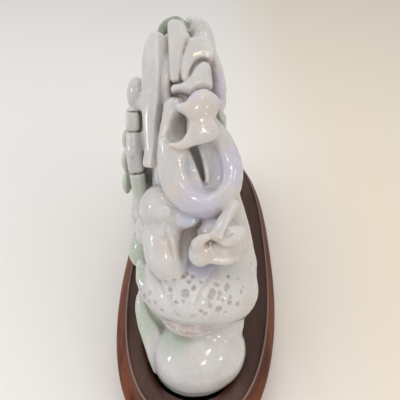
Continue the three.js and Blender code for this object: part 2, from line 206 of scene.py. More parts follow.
# ---------- curves ----------
def catmull_rom(points, per_span):
    """Centripetal Catmull-Rom through points: `per_span` samples a span, evenly in the points' index."""
    p = np.asarray(points, float)
    p = np.vstack([2 * p[0] - p[1], p, 2 * p[-1] - p[-2]])
    samples = []
    spans = len(p) - 3
    for i in range(spans):
        a, b, c, d = p[i:i + 4]
        steps = [max(np.linalg.norm(v) ** 0.5, 1e-4) for v in (b - a, c - b, d - c)]
        out_b = ((b - a) / steps[0] - (c - a) / (steps[0] + steps[1]) + (c - b) / steps[1]) * steps[1]
        out_c = ((c - b) / steps[1] - (d - b) / (steps[1] + steps[2]) + (d - c) / steps[2]) * steps[1]
        t = np.arange(per_span + (i == spans - 1))[:, None] / per_span
        samples.append(
            b + out_b * t
            + (-3 * b + 3 * c - 2 * out_b - out_c) * t ** 2
            + (2 * b - 2 * c + out_b + out_c) * t ** 3
        )
    return np.vstack(samples)


def spread(values, count):
    """A short list of sizes, stretched evenly over `count` samples."""
    values = np.asarray(values, float)
    return np.interp(np.linspace(0, len(values) - 1, count), np.arange(len(values)), values)


def unit(v):
    v = np.asarray(v, float)
    return v / np.linalg.norm(v)


# ---------- shapes: each is a list of pieces (low corner, high corner, distance function) ----------
def ellipsoid_distance(q, radii, power=2.0):
    """Close to the true distance near the surface. A power above 2 squares the section off."""
    level = sum(np.abs(a / r) ** power for a, r in zip(q, radii)) ** (1 / power)
    level = np.maximum(level, 1e-4)
    slope = np.sqrt(sum((np.abs(a / r) ** (power - 1) / r) ** 2 for a, r in zip(q, radii)))
    return (level - 1) / np.maximum(slope * level ** (1 - power), 1e-6)


def boss(centre, radii, turn=(0, 0, 0)):
    """A round boss: an ellipsoid, turned by degrees about X, Y and Z."""
    axes = np.array(
        Matrix.Rotation(math.radians(turn[0]), 3, "X")
        @ Matrix.Rotation(math.radians(turn[1]), 3, "Y")
        @ Matrix.Rotation(math.radians(turn[2]), 3, "Z")
    )
    centre = np.asarray(centre, float)
    reach = np.abs(axes * np.asarray(radii, float)).sum(axis=1)

    def distance(x, y, z):
        d = (x - centre[0], y - centre[1], z - centre[2])
        q = [sum(axes[i, k] * d[i] for i in range(3)) for k in range(3)]
        return ellipsoid_distance(q, radii)

    return [(centre - reach, centre + reach, distance)]


def limb(points, wide, thick=None, face=(0, -1, 0), per_span=6, power=2.0, relief=None):
    """A limb along a smooth path: half-widths `wide` across it, half-thicknesses `thick` along `face`.

    `relief`, if there is one, is a function of the run along the path in mm and the angle round it in
    radians, which gives the height of the carving on the surface in mm.
    """
    path = catmull_rom(points, per_span)
    w = spread(wide, len(path))
    t = w if thick is None else spread(thick, len(path))
    facing = unit(face)
    pieces = []
    start = 0.0
    for a, b, wa, wb, ta, tb in zip(path, path[1:], w, w[1:], t, t[1:]):
        along = b - a
        length = np.linalg.norm(along)
        along = along / length
        side = unit(np.cross(along, facing))
        out = np.cross(side, along)

        def distance(
            x, y, z, a=a, along=along, side=side, out=out, length=length, sizes=(wa, wb, ta, tb), start=start,
        ):
            d = (x - a[0], y - a[1], z - a[2])
            run = sum(along[i] * d[i] for i in range(3))
            share = np.clip(run / length, 0, 1)
            w_here = sizes[0] + (sizes[1] - sizes[0]) * share
            t_here = sizes[2] + (sizes[3] - sizes[2]) * share
            across = sum(side[i] * d[i] for i in range(3))
            outward = sum(out[i] * d[i] for i in range(3))
            q = (across, outward, run - share * length)
            found = ellipsoid_distance(q, (w_here, t_here, np.minimum(w_here, t_here)), power)
            if relief is not None:
                found = found - relief(start + share * length, np.arctan2(outward, across))
            return found

        reach = max(wa, wb, ta, tb)
        pieces.append((np.minimum(a, b) - reach, np.maximum(a, b) + reach, distance))
        start += length
    return pieces


def polygon_distance(px, py, line):
    """Signed distance to a closed outline, below zero inside."""
    ends = np.roll(line, -1, axis=0)
    best = np.full(np.broadcast(px, py).shape, 1e9, np.float32)
    inside = np.zeros(best.shape, bool)
    for (ax, ay), (bx, by) in zip(line, ends):
        ex, ey = bx - ax, by - ay
        t = np.clip(((px - ax) * ex + (py - ay) * ey) / (ex * ex + ey * ey), 0, 1)
        best = np.minimum(best, (px - ax - t * ex) ** 2 + (py - ay - t * ey) ** 2)
        if ay != by:
            inside ^= ((ay > py) != (by > py)) & (px < ex * (py - ay) / ey + ax)
    return np.where(inside, -1, 1) * np.sqrt(best)


def closed_curve(corners, per_span):
    """A smooth closed curve through corners in a plane."""
    corners = np.asarray(corners, float)
    looped = np.vstack([corners[-2:], corners, corners[:3]])
    wide = catmull_rom(np.c_[looped, np.zeros(len(looped))], per_span)[:, :2]
    return wide[2 * per_span:(2 + len(corners)) * per_span]


def plate(origin, across, up, outline, thick, edge=1.0, crown=0.0):
    """A petal or flap: a smooth outline in the plane of `across` and `up`, whose front is that plane.

    Its edge is rounded to the radius `edge`, and its middle stands `crown` proud of its edge.
    """
    v = unit(up)
    u = np.asarray(across, float)
    u = unit(u - u.dot(v) * v)
    n = np.cross(u, v)
    line = closed_curve(outline, 4)
    corner_points = [
        np.asarray(origin) + a * u + b * v + c * n
        for a in (line[:, 0].min(), line[:, 0].max())
        for b in (line[:, 1].min(), line[:, 1].max())
        for c in (-2 * thick, crown)
    ]

    def distance(x, y, z):
        d = (x - origin[0], y - origin[1], z - origin[2])
        a, b, c = (sum(axis[i] * d[i] for i in range(3)) for axis in (u, v, n))
        flat = polygon_distance(a, b, line)
        swell = crown * (1 - np.exp(np.minimum(flat, 0) / (2 * thick)))
        over = np.abs(c + thick - swell / 2) - thick - swell / 2 + edge
        beyond = flat + edge
        outside = np.sqrt(np.maximum(over, 0) ** 2 + np.maximum(beyond, 0) ** 2)
        return outside + np.minimum(np.maximum(over, beyond), 0) - edge

    return [(np.min(corner_points, axis=0), np.max(corner_points, axis=0), distance)]


# ---------- the field ----------
CORNERS = [(i, j, k) for i in (0, 1) for j in (0, 1) for k in (0, 1)]


class Stone:
    """Distances to the carving's surface on a grid: below zero is stone."""

    def __init__(self, low, high):
        near = np.arange(low[1], NEAR_END, NEAR_STEP)
        far = np.arange(NEAR_END, high[1], FAR_STEP)
        self.axes = [
            np.arange(low[0], high[0], GRID_STEP, dtype=np.float32),
            np.concatenate([near, far]).astype(np.float32),
            np.arange(low[2], high[2], GRID_STEP, dtype=np.float32),
        ]
        self.d = np.full([len(a) for a in self.axes], FAR_AWAY, np.float32)
        self.pits = []

    def window(self, low, high, margin):
        """The part of the grid round a box: its slices, and the grid's x, y and z in it."""
        cut = [
            slice(max(np.searchsorted(a, lo - margin) - 1, 0), np.searchsorted(a, hi + margin) + 1)
            for a, lo, hi in zip(self.axes, low, high)
        ]
        x, y, z = (a[c] for a, c in zip(self.axes, cut))
        return tuple(cut), x[:, None, None], y[None, :, None], z[None, None, :]

    def measure(self, shape):
        """The window that holds a shape, and the distances to the shape in it."""
        low = np.min([piece[0] for piece in shape], axis=0)
        high = np.max([piece[1] for piece in shape], axis=0)
        cut, x, y, z = self.window(low, high, MARGIN)
        found = np.full(self.d[cut].shape, FAR_AWAY, np.float32)
        for piece_low, piece_high, distance in shape:
            part, x, y, z = self.window(piece_low, piece_high, MARGIN)
            inner = tuple(slice(p.start - c.start, p.stop - c.start) for p, c in zip(part, cut))
            found[inner] = np.minimum(found[inner], distance(x, y, z))
        return cut, found

    def add(self, shape, blend=1.4):
        cut, found = self.measure(shape)
        self.d[cut] = smooth_min(self.d[cut], found, blend)

    def add_bosses(self, *rows):
        """Adds bosses one after another. A row is (centre, radii, blend) and a turn, if there is one."""
        for centre, radii, blend, *turn in rows:
            self.add(boss(centre, radii, *turn), blend)

    def carve(self, shape, blend=0.8):
        cut, found = self.measure(shape)
        self.d[cut] = -smooth_min(-self.d[cut], found, blend)

    def sample(self, points):
        """The distances at points in mm."""
        points = np.atleast_2d(points)
        index = [np.interp(points[:, i], self.axes[i], np.arange(len(self.axes[i]))) for i in range(3)]
        low = [np.clip(np.floor(v).astype(int), 0, n - 2) for v, n in zip(index, self.d.shape)]
        share = [v - lo for v, lo in zip(index, low)]
        value = 0
        for i, j, k in CORNERS:
            weight = 1.0
            for s, corner in zip(share, (i, j, k)):
                weight = weight * (s if corner else 1 - s)
            value = value + weight * self.d[low[0] + i, low[1] + j, low[2] + k]
        return value

    def slope(self, points):
        """The directions straight out of the stone at points in mm."""
        step = 0.7 * np.eye(3)
        found = np.stack([self.sample(points + s) - self.sample(points - s) for s in step], 1)
        return found / np.maximum(np.linalg.norm(found, axis=1), 1e-6)[:, None]

    def settle(self, points):
        """The same points, moved onto the surface."""
        points = np.array(points, float)
        for _ in range(6):
            points -= 0.8 * self.slope(points) * self.sample(points)[:, None]
        return points

    def strike(self, start, direction):
        """Where a straight line from `start` first meets the stone, or None."""
        run = np.arange(0, STRIKE_REACH, 0.4)[:, None]
        points = np.asarray(start, float) + run * unit(direction)
        met = np.flatnonzero(self.sample(points) < 0)
        return points[met[0]] if len(met) else None

    def score(self, points, radius, depth=None):
        """An incised line over the surface, `radius` half-wide."""
        path = self.settle(catmull_rom(points, 4))
        lift = radius - (radius if depth is None else depth)
        path += self.slope(path) * lift
        self.carve(limb(path, [0.4 * radius, radius, radius, 0.4 * radius], per_span=1), 0.5)

    def drill(self, point, radius):
        """A drilled pit, a little deeper than it is wide."""
        centre = self.settle([point])[0]
        stretch = rng.uniform(*PIT_STRETCH)
        turn = rng.uniform(-PIT_TURN, PIT_TURN, 3)
        self.carve(boss(centre, [radius * stretch, radius * 1.35, radius / stretch], turn), 0.35)
        self.pits.append([*centre, 0.8 * radius])


def smooth_min(a, b, blend):
    h = np.maximum(blend - np.abs(a - b), 0) / blend
    return np.minimum(a, b) - h * h * (blend / 4)


# ---------- patterns cut into the surface ----------
def scales(length, rows, height):
    """Overlapping scales: `length` mm long along a body, `rows` round it, lifting towards the far end."""
    def relief(run, angle):
        a = run / length
        b = angle * rows / (2 * math.pi)
        row = np.floor(a)
        found = 0.0
        for k in (0, 1):
            at = row - k
            shift = 0.5 * (at % 2)
            off = b - shift
            off = off - np.round(off)
            inside = (off / 0.6) ** 2 + ((a - at) / 1.25) ** 2
            lift = height * (0.25 + 0.75 * np.clip((a - at) / 1.25, 0, 1)) * np.clip((1 - inside) * 5, 0, 1)
            found = np.maximum(found, lift)
        return found - height * 0.5

    return relief


def soft_noise(axes, spacing, seed):
    """Smooth random values between -1 and 1 on the grid, that change over `spacing` mm."""
    source = np.random.default_rng(seed)
    index, share = [], []
    for axis in axes:
        at = (axis - axis[0]) / spacing
        low = np.floor(at).astype(int)
        index.append(low)
        part = at - low
        share.append(part * part * (3 - 2 * part))
    knots = source.uniform(-1, 1, [i[-1] + 2 for i in index]).astype(np.float32)
    for axis in range(3):
        low = np.take(knots, index[axis], axis=axis)
        high = np.take(knots, index[axis] + 1, axis=axis)
        shape = [1, 1, 1]
        shape[axis] = -1
        knots = low + (high - low) * share[axis].reshape(shape).astype(np.float32)
    return knots


# ---------- the jade's shapes ----------
def add_rock(stone):
    """A slab on edge that leans to -X, with a rounded edge and a worn, hollowed face."""
    x, y, z = (
        stone.axes[0][:, None, None],
        stone.axes[1][None, :, None],
        stone.axes[2][None, None, :],
    )
    table = np.array(ROCK_SECTIONS, float)
    fine = np.linspace(table[0, 0] - 20, table[-1, 0] + 20, 440)
    kernel = np.hanning(21) / np.hanning(21).sum()
    sizes = []
    for column in table.T[1:]:
        padded = np.pad(np.interp(fine, table[:, 0], column), 10, mode="edge")
        smooth = np.convolve(padded, kernel, mode="valid")
        sizes.append(np.interp(stone.axes[1], fine, smooth).astype(np.float32)[None, :, None])
    middle_x, middle_z, thick, high = sizes
    up = z - middle_z
    across = x - middle_x + ROCK_LEAN * up
    power = ROCK_SQUARENESS
    level = (np.abs(across / thick) ** power + np.abs(up / high) ** power) ** (1 / power) - 1
    slopes = np.gradient(level, *stone.axes)
    steepness = np.sqrt(sum(s * s for s in slopes))
    rock = np.clip(level / np.maximum(steepness, 1e-3), -FAR_AWAY, FAR_AWAY)
    rock = -smooth_min(-rock, np.minimum(y - table[0, 0] + 3, table[-1, 0] + 3 - y), 8.0)
    hollows = soft_noise(stone.axes, HOLLOW_SPACING, 3)
    wear = soft_noise(stone.axes, WEAR_SPACING, 4)
    rock = rock + ROCK_HOLLOWS * np.abs(hollows) + ROCK_WEAR * wear
    stone.d[:] = np.minimum(stone.d, rock)


def add_ledges(stone):
    """The rock's broken foot, round the stand's recess."""
    stone.add_bosses(
        ([2, 78, 28], [15, 17, 17], 3),
        ([9, -38, 28], [13, 24, 17], 3),
        ([8, 58, 26], [12, 20, 12], 3),
        ([-14, -6, 26], [10, 30, 11], 3),
    )


def add_near_rock(stone):
    """The boulder, the swollen rock above it, and the ridge up to the coil."""
    stone.add_bosses(
        ([-0.5, -88, 29], [18.5, 17.4, 17], 2),
        ([9, -86, 33], [14, 14.2, 15.5], 8),
        ([12.6, -82, 47], [8.4, 9, 10], 3),
        ([0, -71, 57], [26.5, 24, 18.5], 1.5, [-24, 0, 0]),
        ([-3, -83, 52], [13, 11.5, 6.5], 2),
    )
    stone.add(limb([[17, -60, 62], [12.5, -58, 80], [7.5, -54, 98]], [13, 10, 7], [9, 8, 6], [1, 0, 0]), 3)
    stone.add(limb([[-27, -69, 66], [-25.4, -75, 62.6], [-23, -80.5, 58]], [2.2, 3.0, 1.8]), 2.4)
    stone.add(limb([[-22.6, -72, 68.4], [-21, -78, 67], [-18.6, -83, 63.5]], [2.0, 2.6, 1.6]), 2.4)
    stone.add(limb([[-13, -90, 20], [-17, -81, 30], [-20, -72, 40], [-22, -64, 50]], [4, 5, 5, 4]), 1.5)
    low_leaf = [1, -0.1, 0.6], [-0.29, 0.70, 0.65]
    stone.add(plate([-17.1, -96, 24.8], *low_leaf, LOW_LEAF_OUTLINE, 2.2, 1.0, 2.2), 0.5)


def add_cloud_bosses(stone):
    """The rounded clouds on the left of the near end."""
    stone.add_bosses(
        ([-16, -46, 64], [16, 16, 24], 3),
        ([-28.5, -52, 59], [7.5, 8, 10], 1),
        ([-25, -57, 76], [6.5, 7, 9], 0.8),
        ([-17.5, -64, 94.5], [10.5, 10, 10.5], 0.8),
        ([-6.5, -66, 92.5], [10, 8, 7.5], 3),
        ([-6.2, -71.6, 94.4], [5.4, 3.6, 3.6], 1.6, [-30, 0, -10]),
    )
    stone.add(limb([[-16.5, -71, 85], [-15, -76, 79], [-12, -80, 74]], [9.5, 9, 6], None, [1, 0, 0]), 0.8)
    stone.add(boss([-16, -72.2, 99], [2.2, 1.3, 2.2]), 1.2)
    stone.carve(boss([-16, -74.2, 99.8], [0.8, 1.6, 0.8]), 0.5)
    fold = [[-15.6, -75, 93.6], [-15.2, -77, 92], [-13.6, -79, 89], [-12.4, -81, 86], [-12, -82.5, 82.5]]
    stone.score(fold, 0.8)
    stone.score([[-17.6, -78, 91], [-16, -78.6, 89.5], [-15.2, -77.4, 91.4]], 0.55)
    gap = [[-2.2, -73.5, 94.5], [-5.5, -73, 91], [-7.4, -75.5, 86.5], [-7.6, -79.5, 83.5], [-6.6, -81.5, 80]]
    stone.carve(limb(gap, [1.6, 2.4, 2.2, 1.9, 0.8], [2.0, 3.0, 3.4, 2.6, 1.0]), 1.2)


def add_fungus(stone):
    """A curled fungus right of the clouds: an ear-shaped cap on a stalk, its rim rolled into a lobe."""
    stone.add_bosses(
        ([6, -74, 90], [9, 5.5, 8], 2),
        ([9, -79.6, 89], [6, 4, 5], 1.5),
        ([-1.2, -82.6, 88], [4.8, 4.2, 5.9], 0.8, [-20, 0, 0]),
        ([3.2, -81.4, 88.4], [4.2, 3.6, 4.6], 1.6),
    )
    lower_rim = [[1, -83.6, 86.6], [5.5, -84.2, 86.4], [9.5, -83.8, 86.6], [13, -82, 86]]
    stone.add(limb(lower_rim, [2.2, 2, 2.2, 1.3]), 1.2)
    stone.add(boss([9.5, -80, 94], [5, 3, 4.5]), 1.5)
    stone.add(plate([6.6, -85.5, 94.2], [1, 0.1, 0], [0.12, 0.68, 0.72], CAP_OUTLINE, 1.6, 1.2, 0.8), 0.7)
    stone.add(limb([[-2.8, -83.6, 93], [-1.2, -83.9, 95.8], [0.8, -83.8, 97.3]], [2.4, 2.0, 1.5]), 1.4)
    backing = [[4.2, -81.6, 97], [6.6, -77.6, 100], [10.4, -72, 104.4]]
    stone.add(limb(backing, [2.6, 2.6, 2.2], [2.4, 2.4, 2.4]), 1.2)
    stone.add(limb([[5.9, -84, 97.6], [7.6, -79.8, 101.2], [9.8, -74.4, 105.2]], [1.0, 0.75, 0.6]), 0.8)
    stone.carve(boss([8.8, -83.2, 98.7], [1.7, 1.5, 2.2], [-40, 0, 0]), 1.0)
    for x, z in ((7.8, 98.2), (8.8, 99.4), (9.4, 98.0), (8.4, 97.2), (10.6, 98.8)):
        stone.drill([x, -82.6, z], 0.4)
    stone.carve(limb([[1.8, -86.6, 95.8], [2.3, -87, 92.8], [4.4, -86.8, 90.4]], [0.9, 1.4, 1.0]), 1.0)
    stone.add(limb([[1.9, -83.8, 94.6], [2.6, -84.4, 92], [4.0, -84.4, 89.8]], [0.4, 0.6, 0.4]), 0.6)
    stone.carve(limb([[5, -86.4, 91.8], [7.6, -85.8, 92.2], [10.6, -84.4, 92.2]], [1.0, 1.1, 0.8]), 1.2)
    stone.add(boss([8, -83.2, 89.7], [1.9, 1.8, 1.7]), 1.2)
    curl = [[9.4, -85, 89.2], [8.4, -85.4, 88.4], [7.0, -85.2, 89.4], [7.6, -85, 90.8], [8.8, -84.8, 90.2]]
    stone.score(curl, 0.45, 0.4)
    stone.carve(limb([[11.9, -74.6, 101.4], [12.3, -76, 97.6]], [0.9, 0.8], [2, 2]), 0.6)


def add_coil(stone):
    """The scaled coil of the tail, with a deep crescent opening, and the flap that hangs over it."""
    path = [
        [-15, -56, 135], [-14.8, -61, 124], [-13.8, -65, 113], [-8.5, -68, 105], [0, -69, 102.6],
        [6, -66, 107], [6.8, -62, 115], [3, -58, 122], [-2, -54, 127],
    ]
    stone.add(boss([-3, -51, 116], [10, 5, 13]), 2)
    widths = [4.4, 6.0, 6.2, 6.2, 6.0, 5.9, 5.9, 5.3, 5]
    stone.add(limb(path, widths, power=2.6, relief=scales(4.4, 9, COIL_SCALES)), 0.8)
    stone.add(limb([[-0.2, -57.4, 126], [2.2, -59.4, 120.7], [3.4, -61.4, 115.4], [2.6, -63.4, 110]],
                   [4.6, 5.4, 5.0, 3.8], [4, 4, 4, 3]), 4)
    stone.add(limb([[-8.6, -61.5, 121], [-6.8, -64, 115.6], [-4.8, -66, 111.4], [-2, -67.6, 108]],
                   [2.2, 2.4, 2.4, 1.8]), 2)
    crevice = [[-7.6, -60, 122.5], [-4.7, -62, 117], [-2.7, -64, 112.8], [-1.2, -66, 109.4]]
    stone.carve(limb(crevice, [1.4, 1.3, 1.2, 0.8], [5, 5.2, 4.6, 3]), 0.8)
    bowl = [[-0.6, -62.8, 122.6], [1.0, -65.2, 117.4], [1.9, -67, 112.8], [1.4, -68.4, 110]]
    stone.carve(limb(bowl, [1.8, 2.8, 2.8, 1.6], [1.4, 1.7, 1.7, 1.0]), 4)
    rib = [[-4.7, -57.8, 122], [-2.4, -60.6, 117.8], [-1.0, -63.4, 113.4], [-0.7, -65.8, 110]]
    stone.add(limb(rib, [1.2, 1.4, 1.3, 0.9], [3, 3.2, 3.2, 2]), 1.4)
    stone.carve(boss([-10.2, -62.5, 131.6], [5.4, 4.8, 6.4], [18, 12, 0]), 4)
    stone.carve(boss([-14.0, -65, 127.8], [3.0, 2.6, 2.6], [18, 0, 0]), 2.5)
    stone.score([[-19.6, -63, 126.6], [-17.4, -65.6, 126.6], [-14.6, -66.6, 125.4]], 0.7)
    stone.add(limb([[-3, -58, 139], [-5, -61.5, 133], [-4, -62, 128]], [4.6, 5, 6], [4.4, 4, 3.4]), 1)
    stone.add(plate([-8.1, -69, 125.6], [1, 0, 0], [0.29, 0.42, 0.86], FAN_OUTLINE, 1.7, 1.2, 1.0), 1.3)
    stone.add(plate([-8.1, -65, 135.2], [1, 0, 0], [0.28, 0.45, 0.85], LOBE_OUTLINE, 2.6, 1.5, 2.2), 1.2)


def add_tail(stone):
    """The upright blades at the top of the near end, the arch behind them and the spiny ridge."""
    stone.add(
        limb(
            [[-13, -22, 157.5], [-9.5, -22, 154.8], [-7, -27, 149.5], [-3.3, -34, 141], [-1.1, -42, 131]],
            [3, 3.6, 4, 3.7, 2.8],
            [5, 6, 6, 4.5, 3.4],
            [1, 0, 0.6],
        ),
        1,
    )
    stone.add(boss([-8, -34, 150], [5, 5, 8]), 2)
    stone.add(boss([-17, -37.5, 146], [8, 5, 13]), 2)
    hood = [
        [-23.6, -30, 153], [-22.6, -29, 157], [-20.8, -28.4, 159.2], [-17.6, -27.6, 160], [-14, -25, 157.5],
    ]
    stone.add(limb(hood, [2.4, 2.5, 2.2, 2.0, 1.6], [4, 4, 4, 4, 3]), 0.8)
    back = [[-25.6, -36, 155], [-25.2, -40, 146], [-24.6, -47, 132], [-23.4, -56, 117]]
    stone.add(limb(back, [2.4, 3.4, 3.2, 2.0], [5, 7, 7, 4]), 1.5)
    between = [[-20.4, -36.6, 155], [-20, -43, 149.4], [-19.6, -48.4, 142.4], [-18.8, -51.6, 136]]
    stone.add(limb(between, [1.8] * 4), 1)
    stone.add(plate([-22.4, -66, 115.4], [1, -0.5, 0], [-0.02, 0.46, 0.89], BLADE_LEFT, 2.2, 0.7, 0.8), 0.4)
    stone.add(plate([-22.4, -66, 115.4], [1, 1.2, 0], [-0.02, 0.46, 0.89], BLADE_RIGHT, 2.4, 0.5), 0.4)
    centre_up = [-0.07, 0.51, 0.86]
    stone.add(plate([-15.9, -51, 144.5], [1, -0.3, 0], centre_up, CENTRE_OUTLINE, 2.8, 1.1, 0.6), 0.8)
    stone.add(plate([-12.1, -52, 145.9], [1, 0, 0], [0.25, 0.59, 0.76], RIGHT_OUTLINE, 2.6, 1.1, 0.6), 0.9)
    stone.add(plate([-14.2, -56, 142.6], [1, 0, 0], [0.56, 0.46, 0.69], KNUCKLE_OUTLINE, 3.2, 2.0, 2.6), 1.2)
    stone.carve(boss([-13.4, -60, 141.4], [3.4, 3.4, 1.5], [0, 8, 0]), 0.7)
    stone.add(
        limb([[1.4, -42, 130.5], [3.2, -42, 127], [4.6, -42, 123.5]], [1, 2.6, 1], [1, 2, 1], [1, 0, 0]),
        0.6,
    )
    ridge = [[-2.2, -32, 150], [-0.2, -36, 144.5], [1.4, -40, 138], [1.8, -43, 132]]
    stone.add(limb(ridge, [1.6, 2.4, 2.8, 1.6]), 1.2)
    for y, z in ((-35.5, 146.5), (-39, 141.5), (-42, 136.5)):
        stone.score([[-3.5, y - 3.5, z + 1.5], [0.5, y - 3, z], [3.2, y - 1, z - 1]], 0.5, 0.4)


def add_bamboo(stone):
    """Bamboo up the -X side: culms with ringed joints, and long leaves."""
    stone.add(boss([-28, -28, 100], [12, 14, 32]), 3)
    for low, high, radius in CULMS:
        low, high = np.array(low, float), np.array(high, float)
        stone.add(limb([low, high], [radius, radius * 0.94], per_span=3, power=2.4), 0.6)
        along = unit(high - low)
        for end in (low, high):
            stone.add(limb([end - along * 0.8, end + along * 0.8], [radius * 1.16] * 2, per_span=1), 0.5)
        ring = high - along * 1.8
        groove = [ring - along * 0.3, ring + along * 0.3]
        stone.carve(limb(groove, [radius * 1.3] * 2, per_span=1, power=6), 0.3)
        core = [ring - along * 1.2, ring + along * 1.2]
        stone.add(limb(core, [radius * 0.93] * 2, per_span=1, power=4), 0.3)
    stone.add(boss([-34.8, -25.5, 127.5], [4.6, 5, 8]), 0.8)
    for centre, turn in (([-38.9, -31, 107.5], 10), ([-39.4, -32.5, 97], 0), ([-39, -35, 86.5], -8)):
        stone.add(boss(centre, [2.2, 4.2, 6.4], [18 + turn, 0, 0]), 0.5)
    stone.add(limb([[-33.7, -44, 84], [-33, -46, 76], [-31.6, -48, 67]], [1.2, 2.4, 1.2]), 0.8)
    for points, wide in LEAVES:
        stone.add(limb(points, [1, wide, wide * 0.8, 0.8], [1, 2.2, 2, 0.8], [-1, 0, 0.1]), 0.6)
        outer = np.array(points, float) - [3, 0, 0]
        stone.score(outer, 0.6)


def add_dragon_body(stone):
    """The scaled body: over the back, down the +X face in bends, and out under the near end."""
    stone.add(limb(DRAGON_PATH, DRAGON_RADII, None, [1, 0, 0.05], relief=scales(6.4, 11, BODY_SCALES)), 0.9)
    path = catmull_rom(DRAGON_PATH, 8)
    steps = np.r_[0, np.cumsum(np.linalg.norm(np.diff(path, axis=0), axis=1))]
    radii = spread(DRAGON_RADII, len(path))
    for run in np.arange(FIRST_FIN, steps[-1] - LAST_FIN, FIN_SPACING):
        at, ahead = (np.array([np.interp(r, steps, path[:, i]) for i in range(3)]) for r in (run, run + 1))
        along = unit(ahead - at)
        radius = np.interp(run, steps, radii)
        side = np.cross(along, [1, 0, 0])
        if side[2] < 0 and abs(along[1]) > 0.5:
            side = -side
        out = unit(0.75 * side + np.array([0.65, 0, 0]))
        root = at + out * (radius - 1.6)
        fin = [root, root + out * 2.6 - along * 0.6, root + out * 4.2 - along * 3.2]
        stone.add(limb(fin, [2.8, 2.2, 0.7], [1.1, 1.0, 0.6], np.cross(along, out)), 0.8)


def add_leg(stone, hip, knee, ankle, reach):
    """A leg: thigh, shin and a foot of three claws that point along `reach`."""
    stone.add(limb([hip, knee], [5.4, 3.6], None, [1, 0, 0], relief=scales(4.6, 7, 0.4)), 1.2)
    stone.add(limb([knee, ankle], [3.6, 2.8], None, [1, 0, 0], relief=scales(3.8, 6, 0.35)), 1.2)
    forward = unit(reach)
    fan = np.cross([1, 0, 0], forward)
    ankle = np.asarray(ankle, float)
    for step in (-1, 0, 1):
        at = [
            ankle + forward * run + fan * step * wide + np.array([lift, 0, 0])
            for run, wide, lift in ((0, 1, 0), (5, 4.5, 1.6), (10, 6.5, -1))
        ]
        stone.add(limb(at, [2.4, 2, 0.7], None, [1, 0, 0]), 0.5)


def add_legs(stone):
    add_leg(stone, [-1, -2, 112], [3, 12, 112], [-1, 22, 104], [0, 1, -0.3])
    add_leg(stone, [13, -16, 52], [14, -6, 64], [11, -18, 72], [0, -0.6, 1])


def add_dragon_head(stone):
    """The head at the far top: open mouth, teeth, whiskers, horns and a swept mane."""
    x = HEAD_X
    stone.add_bosses(
        ([x, 52, 108], [10, 12, 13], 2),
        ([x, 55, 120], [11.5, 14, 12], 2, [-18, 0, 0]),
        ([x, 73, 113], [8.6, 16, 6.8], 2.5, [-18, 0, 0]),
        ([x, 85, 111], [7.6, 5.5, 4.8], 1.5),
        ([x, 68, 100], [6.6, 15, 4.2], 1.5, [-26, 0, 0]),
    )
    mouth = [[x, 86, 101.5], [x, 74, 105], [x, 64, 107]]
    stone.carve(limb(mouth, [9, 9, 8], [1.8, 1.6, 1.0], [0, 0, 1]), 0.6)
    for side in (-1, 1):
        def at(*points, side=side):
            return [[x + side * across, y, z] for across, y, z in points]

        stone.add(boss(at((7.5, 63, 124))[0], [4.2, 5.6, 4.2]), 0.8)
        stone.add(limb(at((5, 69, 125), (8, 66, 128.6), (9, 58, 129.6)), [1.6, 1.9, 1.0]), 0.6)
        stone.drill(at((11.4, 64.6, 124.4))[0], 1.1)
        stone.add(boss(at((4.4, 87, 113.6))[0], [2.4, 2.6, 2.2]), 0.6)
        stone.drill(at((5.0, 89.4, 113.4))[0], 0.9)
        stone.add(limb(at((5, 54, 129), (7, 40, 135), (7.5, 26, 136)), [2.6, 2.2, 1], None, [1, 0, 0]), 0.8)
        whisker = at((6.4, 84, 108), (8.6, 76, 104), (9.2, 66, 105), (10.4, 57, 99), (9.4, 50, 92))
        stone.add(limb(whisker, [1.2, 1.4, 1.3, 1.1, 0.7]), 0.5)
        for y in (70, 74.5, 79, 83):
            tooth = at((5.6, y, 107.6 - (y - 70) * 0.12), (5.8, y + 0.4, 104.6 - (y - 70) * 0.12))
            stone.add(limb(tooth, [1.1, 0.45]), 0.4)
        upper_mane = at((9, 51, 118), (13, 41, 117), (14, 31, 121))
        stone.add(limb(upper_mane, [4, 4, 1.2], [2.4, 2.2, 1], [0, 0, 1]), 0.8)
        lower_mane = at((9, 49, 108), (13, 39, 103), (14, 28, 106))
        stone.add(limb(lower_mane, [4, 4, 1.4], [2.4, 2.4, 1], [0, 0, 1]), 0.8)
        stone.add(limb(at((10, 53, 113), (12.6, 43, 110), (13, 33, 113)), [2.2, 2.4, 0.8]), 0.6)
        for drop in (0, 5, 10):
            stone.score(at((11, 58, 122 - drop), (12.6, 48, 120 - drop), (14.4, 38, 120 - drop)), 0.5)


def add_cloud(stone, face, centre, size):
    """A cloud on a broad face: two curled lobes on a long one. `face` is +1 or -1 for the +X or -X side."""
    x, y, z = centre
    out = face * size * 0.12
    stone.add(boss([x, y, z], [size * 0.55, size * 1.3, size * 0.6]), 1)
    lobes = (((-0.4, 0.5), (0.5, 0.7, 0.7)), ((0.5, 0.3), (0.45, 0.6, 0.6)))
    for (along, up), (deep, wide, tall) in lobes:
        middle = np.array([x + out, y + size * along, z + size * up])
        stone.add(boss(middle, [size * deep, size * wide, size * tall]), 0.6)
    for (along, up), (deep, wide, _) in lobes:
        middle = np.array([x + out + face * size * deep, y + size * along, z + size * up])
        turns = np.linspace(0.6, 2.9 * math.pi, 15)
        reach = size * wide * 0.82 * turns / turns[-1]
        way = 1 if along < 0 else -1
        curl = [middle + [0, r * math.cos(t) * way, r * math.sin(t)] for r, t in zip(reach, turns)]
        drop = [p - [face * size * deep * (1 - math.sqrt(max(1 - (r / (size * wide)) ** 2, 0))), 0, 0]
                for p, r in zip(curl, reach)]
        stone.score(drop, 0.65)


def add_clouds(stone):
    for face, centre, size in CLOUDS:
        add_cloud(stone, face, centre, size)


